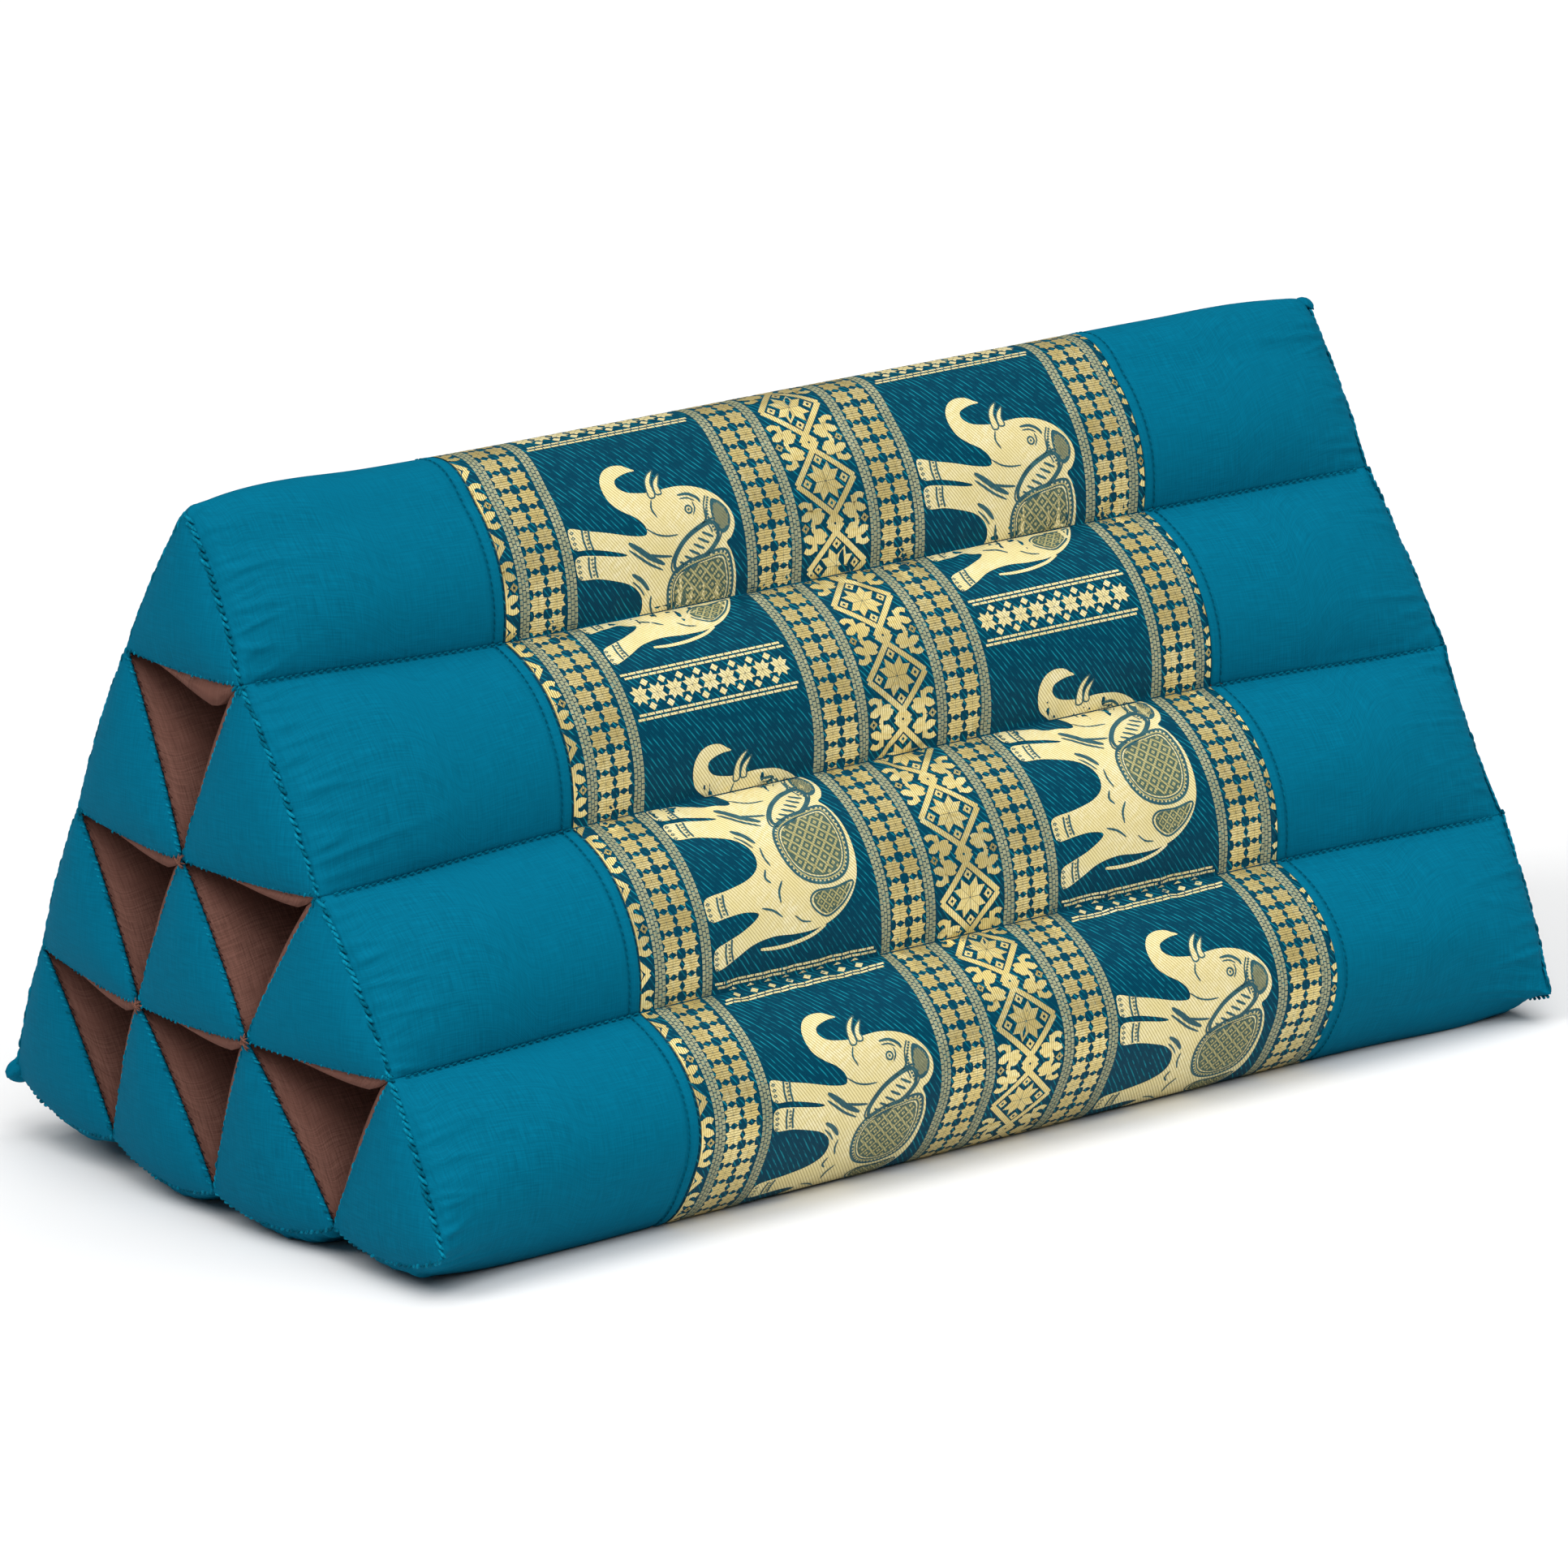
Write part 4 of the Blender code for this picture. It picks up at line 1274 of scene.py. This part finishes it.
# %% [markdown]
# ## Hand sewing
# Every end patch is overcast by hand with teal thread, the outer edges with a heavier
# one that looks like a cord, and the brown cloth in the pockets with a dark one. A
# machine line holds the edges of the band. Each stitch is a small bowed thread.
# Tacks hold the joints of the outer seams, stitches hold the valleys between the tubes,
# and three corners end in a gathered tip.

# %% Stitches
THREAD_SIDES = 6
THREAD_RINGS = 7
TEAL_THREAD = cotton("teal sewing thread, two ply", "007490", "0886A4", "00586F", slub=0.9)
DARK_THREAD = cotton("dark teal sewing thread, two ply", "00586E", "006880", "004458", slub=0.9)
PLUM_THREAD = cotton("dark plum sewing thread, two ply", "3C2622", "4A302A", "2A1A18", slub=0.9)
KNOT_THREAD = cotton("brown waxed thread, knotted", "6A453C", "8A5F50", "46302A", slub=0.9)


def along_line(line, pitch, inset_by=0.0):
    """Places every pitch metres on a line (n, 3): points and directions, evenly spread."""
    spans = np.linalg.norm(np.diff(line, axis=0), axis=1)
    reach = np.concatenate(((0,), np.cumsum(spans)))
    count = max(int((reach[-1] - 2 * inset_by) / pitch), 1)
    at = inset_by + (np.arange(count) + 0.5) * (reach[-1] - 2 * inset_by) / count
    point = np.stack([np.interp(at, reach, line[:, i]) for i in range(3)], axis=1)
    ahead = np.stack([np.interp(at + 0.0008, reach, line[:, i]) for i in range(3)], axis=1)
    behind = np.stack([np.interp(at - 0.0008, reach, line[:, i]) for i in range(3)], axis=1)
    way = ahead - behind
    return point, way / np.maximum(np.linalg.norm(way, axis=1, keepdims=True), 1e-9)


def stitches(centre, along, up, length, lean, bow, radius):
    """Bowed threads, one for each row of centre, as points (n, rings, sides, 3). With u
    from -1 to 1 the thread runs along c + across u length/2 + along u lean/2
    + up bow (1 - u^2), and its radius is r (1 - u^4)^(1/2) + a little."""
    across = np.cross(up, along)
    across /= np.linalg.norm(across, axis=1, keepdims=True)
    u = np.linspace(-1, 1, THREAD_RINGS)[None, :, None]
    path = (centre[:, None] + across[:, None] * u * length / 2 + along[:, None] * u * lean / 2
            + up[:, None] * bow * (1 - u**2))
    way = across * length + along * lean
    way /= np.linalg.norm(way, axis=1, keepdims=True)
    side = np.cross(way, up)
    side /= np.linalg.norm(side, axis=1, keepdims=True)
    angle = 2 * np.pi * np.arange(THREAD_SIDES) / THREAD_SIDES
    ring = (side[:, None] * np.cos(angle)[None, :, None] + up[:, None] * np.sin(angle)[None, :, None])
    size = radius * (np.sqrt(np.maximum(1 - u**4, 0)) * 0.85 + 0.15)
    return path[:, :, None] + ring[:, None] * size[..., None]


def thread_mesh(name, threads, material):
    """One piece from stitches, each a closed small tube."""
    threads = np.concatenate(threads)
    count = len(threads)
    pairs = grid_faces(THREAD_RINGS, THREAD_SIDES, True)
    quads = pairs[..., 0] * THREAD_SIDES + pairs[..., 1] % THREAD_SIDES
    each = THREAD_RINGS * THREAD_SIDES
    faces = (quads[None] + np.arange(count)[:, None, None] * each).reshape(-1, 4).tolist()
    ring = np.arange(THREAD_SIDES)
    for end in (ring[::-1], ring + each - THREAD_SIDES):
        faces += (end[None] + np.arange(count)[:, None] * each).tolist()
    points = threads.reshape(-1, 3)
    points[:, 2] = np.maximum(points[:, 2], 0)
    corners = np.concatenate([np.asarray(face) for face in faces])
    uv = points[corners][:, :2]
    piece = make_mesh(name, points, faces, uv, (material,))
    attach(piece, "root")
    return piece


WALL_PITCH = 0.0026
CORD_PITCH = 0.0027


def sew_ends():
    """All the hand stitches at both ends, by thread."""
    chance = np.random.default_rng(11)
    teal, dark, plum = [], [], []
    for row, column in TUBES:
        for side in (LEFT, RIGHT):
            for face, kind, line, middle in end_edges(row, column, side):
                out = np.array((side, 0.0, 0.0))
                if kind == WALL:
                    centre, along = along_line(line, WALL_PITCH, 0.0015)
                    inward = middle - centre
                    inward[:, 0] = 0
                    inward /= np.linalg.norm(inward, axis=1, keepdims=True)
                    jitter = chance.normal(0, 0.00025, (len(centre), 1))
                    centre = centre + inward * (0.0008 + jitter) + out * 0.0012
                    up = out * 0.9 - inward * 0.35
                    up /= np.linalg.norm(up, axis=1, keepdims=True)
                    loops = stitches(centre, along, up, 0.0022, 0.0022, 0.0006, 0.00042)
                    pick = chance.uniform(size=len(loops)) < 0.3
                    teal.append(loops[~pick])
                    dark.append(loops[pick])
                    if face == 2:
                        inside, way = along_line(line, 0.0027, 0.002)
                        inside = inside + way * chance.normal(0, 0.0005, (len(inside), 1))
                        inside = inside - (middle - inside) * (0, 0.035, 0.035)
                        inside = inside + out * 0.0004
                        lift = np.broadcast_to(out, inside.shape)
                        plum.append(stitches(inside, way, lift, 0.0014, 0.0023, 0.0004, 0.00032))
                else:
                    centre, along = along_line(line, CORD_PITCH, 0.0010)
                    outward = centre - middle
                    outward[:, 0] = 0
                    outward /= np.linalg.norm(outward, axis=1, keepdims=True)
                    jitter = chance.normal(0, 0.0002, (len(centre), 1))
                    centre = centre + out * (0.0006 + jitter) - outward * 0.0001
                    up = out * 0.72 + outward * 0.69
                    up /= np.linalg.norm(up, axis=1, keepdims=True)
                    loops = stitches(centre, along, up, 0.0024, 0.0044, 0.0007, 0.00062)
                    pick = chance.uniform(size=len(loops)) < 0.4
                    teal.append(loops[~pick])
                    dark.append(loops[pick])
    return teal, dark, plum


teal_loops, dark_loops, plum_loops = sew_ends()


def knots():
    """Where the corners of six tubes meet, a few crossed strands of brown thread."""
    chance = np.random.default_rng(5)
    strands = []
    inner = [(2, 1), (3, 1), (3, 2)]
    for side in (LEFT, RIGHT):
        for joint in inner:
            point = seam_joint(*joint, side, np.zeros(1))[0]
            centre = np.repeat(point[None], 8, axis=0) + chance.normal(0, 0.0007, (8, 3)) * (0.3, 1, 1)
            centre[:, 0] += side * 0.0018
            angle = np.arange(8) * np.pi / 8 + chance.uniform(-0.2, 0.2, 8)
            along = np.stack((0 * angle, np.cos(angle), np.sin(angle)), axis=1)
            up = np.broadcast_to(np.array((float(side), 0.0, 0.0)), along.shape)
            strands.append(stitches(centre, along, up, length=0.0052, lean=0.0012,
                                    bow=0.0009, radius=0.00036))
    return strands


OUTER_JOINTS = [(1, 1), (2, 2), (3, 3), (1, 0), (2, 0), (3, 0)]
CORNERS = [(0, 0), (4, 0), (4, 4)]


def away_from_middle(joint, side):
    """A joint of the end seams and the direction out of the section there."""
    point = seam_joint(*joint, side, np.zeros(1))[0]
    arm = point - np.mean([seam_joint(*corner, side, np.zeros(1))[0] for corner in CORNERS], axis=0)
    arm[0] = 0
    return point, arm / np.linalg.norm(arm)


TACK_STRANDS = 6
TACK_INSET = 0.0016  # toward the middle of the section


def tacks():
    """Where two outer seams meet, the thread goes over a few times."""
    chance = np.random.default_rng(17)
    strands = []
    for side in (LEFT, RIGHT):
        for joint in OUTER_JOINTS:
            point, arm = away_from_middle(joint, side)
            centre = point + chance.normal(0, 0.0008, (TACK_STRANDS, 3)) * (0.3, 1, 1)
            centre = centre - arm * TACK_INSET
            centre[:, 0] += side * 0.0006
            turn = np.cross(arm, (1.0, 0, 0))
            angle = chance.uniform(-0.9, 0.9, TACK_STRANDS)
            along = turn * np.cos(angle)[:, None] + arm * np.sin(angle)[:, None]
            up = arm * 0.6 + np.array((side * 0.8, 0, 0))
            up = np.broadcast_to(up / np.linalg.norm(up), along.shape)
            along = along - up * np.sum(along * up, axis=1, keepdims=True)
            along /= np.linalg.norm(along, axis=1, keepdims=True)
            strands.append(stitches(centre, along, up, length=0.0036, lean=0.0014,
                                    bow=0.0005, radius=0.00060))
    return strands


# (joint, side, length, radius) of each gathered tip
TUFTS = [((4, 0), LEFT, 0.0062, 0.0042), ((0, 0), RIGHT, 0.0022, 0.0034),
         ((4, 0), RIGHT, 0.0040, 0.0036)]
TUFT_RINGS, TUFT_SIDES = 10, 20


def tufts():
    """The gathered tips of cloth at some corners. With s from root to tip and f round
    it, the radius is r sqrt(1 - s^1.6) (1 + 0.22 sin(5 f + 3 s))."""
    points, faces, first = [], [], 0
    s = np.linspace(0, 1, TUFT_RINGS)[:, None]
    f = 2 * np.pi * np.arange(TUFT_SIDES) / TUFT_SIDES
    for joint, side, length, radius in TUFTS:
        root, arm = away_from_middle(joint, side)
        arm = arm + np.array((side * 0.55, 0, 0))
        arm /= np.linalg.norm(arm)
        across = np.cross(arm, (1.0, 0, 0))
        across /= np.linalg.norm(across)
        over = np.cross(arm, across)
        size = radius * np.sqrt(np.maximum(1 - s**1.6, 0)) * (1 + 0.22 * np.sin(5 * f + 3 * s))
        ring = across * np.cos(f)[:, None] + over * np.sin(f)[:, None]
        start = root - arm * length * 0.45
        cone = start + arm * (s * length * 1.45)[..., None] + ring[None] * size[..., None]
        cone[..., 2] = np.maximum(cone[..., 2], 0.0002)
        points.append(cone.reshape(-1, 3))
        pairs = grid_faces(TUFT_RINGS, TUFT_SIDES, True)
        faces += (first + pairs[..., 0] * TUFT_SIDES + pairs[..., 1] % TUFT_SIDES).tolist()
        faces.append((first + np.arange(TUFT_SIDES)[::-1]).tolist())
        first += TUFT_RINGS * TUFT_SIDES
    points = np.concatenate(points)
    corners = np.concatenate([np.asarray(face) for face in faces])
    piece = make_mesh("corner_tufts", points, faces, points[corners][:, :2], (TEAL,))
    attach(piece, "root")


VALLEY_THREAD_OUT = 0.0012
VALLEY_PITCH = 0.0031
VALLEY_RISE = 0.35  # how far the way out of a valley leans up


def valley_lines():
    """The stitches that hold each tube to the next, in the valleys of the teal cloth."""
    lines = []
    depth = np.linspace(0.004, LENGTH / 2 - BAND_HALF - 0.0005, 90)
    for side in (LEFT, RIGHT):
        for joint in OUTER_JOINTS:
            line = seam_joint(*joint, side, depth)
            outward = np.array((0.0, 1.0 if joint[1] == 0 else -1.0, VALLEY_RISE))
            outward /= np.linalg.norm(outward)
            centre, along = along_line(line + outward * VALLEY_THREAD_OUT, VALLEY_PITCH)
            outward = np.broadcast_to(outward, centre.shape)
            lines.append(stitches(centre, along, outward, length=0.0002, lean=0.0023,
                                  bow=0.0002, radius=0.00034))
    return lines



MACHINE_PITCH = 0.0026
MACHINE_LIFT = 0.00002
MACHINE_LOWEST = 0.0015  # under this the cushion rests on the line, and it is left out


def machine_lines():
    """Two lines of machine stitches on the teal cloth, beside the band's edges."""
    lines = []
    for side in (LEFT, RIGHT):
        depth = np.array((LENGTH / 2 - BAND_HALF - MACHINE_LINE_AT,))
        ring = outline(side, depth)[0]
        middle = ring.mean(axis=0)
        loop = np.concatenate((ring, ring[:1]))
        loop[:, 0] = side * (BAND_HALF + MACHINE_LINE_AT)
        centre, along = along_line(loop, MACHINE_PITCH)
        outward = np.cross(along, (1.0, 0.0, 0.0))
        outward *= np.sign(np.sum(outward * (centre - middle), axis=1, keepdims=True))
        outward /= np.linalg.norm(outward, axis=1, keepdims=True)
        keep = centre[:, 2] > MACHINE_LOWEST
        lines.append(stitches(centre[keep] + outward[keep] * MACHINE_LIFT, along[keep], outward[keep],
                              length=0.0002, lean=0.0021, bow=0.0001, radius=0.00020))
    return lines


thread_mesh("overcast_stitches_teal", teal_loops, TEAL_THREAD)
thread_mesh("overcast_stitches_dark", dark_loops, DARK_THREAD)
thread_mesh("pocket_stitches_plum", plum_loops, PLUM_THREAD)
thread_mesh("joint_knots", knots(), KNOT_THREAD)
thread_mesh("joint_tacks", tacks(), DARK_THREAD)
tufts()
thread_mesh("valley_stitches", valley_lines(), DARK_THREAD)
thread_mesh("band_machine_lines", machine_lines(), DARK_THREAD)
print("stitches", sum(len(loops) for loops in teal_loops + dark_loops + plum_loops))

# %% [markdown]
# ## Stage, light and camera
# A plain pale floor, three soft suns and an even sky, which is dimmer than the white
# that the camera sees. The camera stands where the photograph
# was taken from, and its lens and roll follow from the cushion's corners.

# %% Stage, light and camera
CAMERA_AT = (-2.02030, -2.64005, 0.94006)
CAMERA_AZIMUTH = math.radians(-37.45)
CAMERA_ELEVATION = math.radians(14.07)
CAMERA_ROLL = math.radians(-2.06)
CAMERA_LENS_MM = 225.70


def place_camera():
    """Aims the camera by azimuth, elevation and roll."""
    a, e, r = CAMERA_AZIMUTH, CAMERA_ELEVATION, CAMERA_ROLL
    back = Vector((math.sin(a) * math.cos(e), -math.cos(a) * math.cos(e), math.sin(e)))
    right = (-back).cross(Vector((0, 0, 1))).normalized()
    up = right.cross(-back)
    axis_x = math.cos(r) * right + math.sin(r) * up
    axis_y = -math.sin(r) * right + math.cos(r) * up
    data = bpy.data.cameras.new("camera")
    data.lens = CAMERA_LENS_MM
    data.sensor_width = 36
    data.sensor_fit = "HORIZONTAL"
    data.clip_start = 0.1
    data.clip_end = 50
    camera = bpy.data.objects.new("camera", data)
    turn = Matrix((axis_x, axis_y, back)).transposed().to_4x4()
    camera.matrix_world = Matrix.Translation(CAMERA_AT) @ turn
    bpy.context.scene.collection.objects.link(camera)
    bpy.context.scene.camera = camera


def sun(name, azimuth, elevation, strength, softness):
    """A soft distant light from a direction in degrees."""
    data = bpy.data.lights.new(name, "SUN")
    data.energy = strength
    data.angle = math.radians(softness)
    lamp = bpy.data.objects.new(name, data)
    a, e = math.radians(azimuth), math.radians(elevation)
    toward = Vector((math.sin(a) * math.cos(e), -math.cos(a) * math.cos(e), math.sin(e)))
    lamp.rotation_euler = toward.to_track_quat("Z", "Y").to_euler()
    bpy.context.scene.collection.objects.link(lamp)


def pale_floor():
    """A wide plain floor."""
    half = 9.0
    corners = [(-half, -half, 0), (half, -half, 0), (half, half, 0), (-half, half, 0)]
    mesh = bpy.data.meshes.new("floor")
    mesh.from_pydata([(x, y, -0.0002) for x, y, _ in corners], [], [(0, 1, 2, 3)])
    material, _, _ = new_material("pale floor, painted", "E4E4E4", 0.9, specular=0.1)
    mesh.materials.append(material)
    floor = bpy.data.objects.new("floor", mesh)
    bpy.context.scene.collection.objects.link(floor)
    floor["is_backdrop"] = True


STUDIO_GLOW = 0.12  # light from all round, and plain white where the camera sees past the floor
place_camera()
pale_floor()
sun("sun_above", -10, 80, 2.2, 60)
sun("sun_front", -16, 46, 1.5, 40)
sun("sun_left", -92, 47, 1.15, 30)
world = bpy.data.worlds.new("studio")
world.use_nodes = True
background = world.node_tree.nodes["Background"]
background.inputs["Color"].default_value = (1, 1, 1, 1)
seen = add(world.node_tree, "ShaderNodeLightPath")
glow = add(world.node_tree, "ShaderNodeMapRange", {"To Min": STUDIO_GLOW, "To Max": 1.0},
           Value=seen.outputs["Is Camera Ray"])
world.node_tree.links.new(glow.outputs["Result"], background.inputs["Strength"])
bpy.context.scene.world = world
bpy.context.scene.view_settings.view_transform = "Standard"

# %% [markdown]
# ## Finish
# The size of the frame and of the dressed cushion are kept side by side.

# %% Finish
boxes = [[[float(v) for v in corner] for corner in box] for box in (CAD_BOX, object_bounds())]
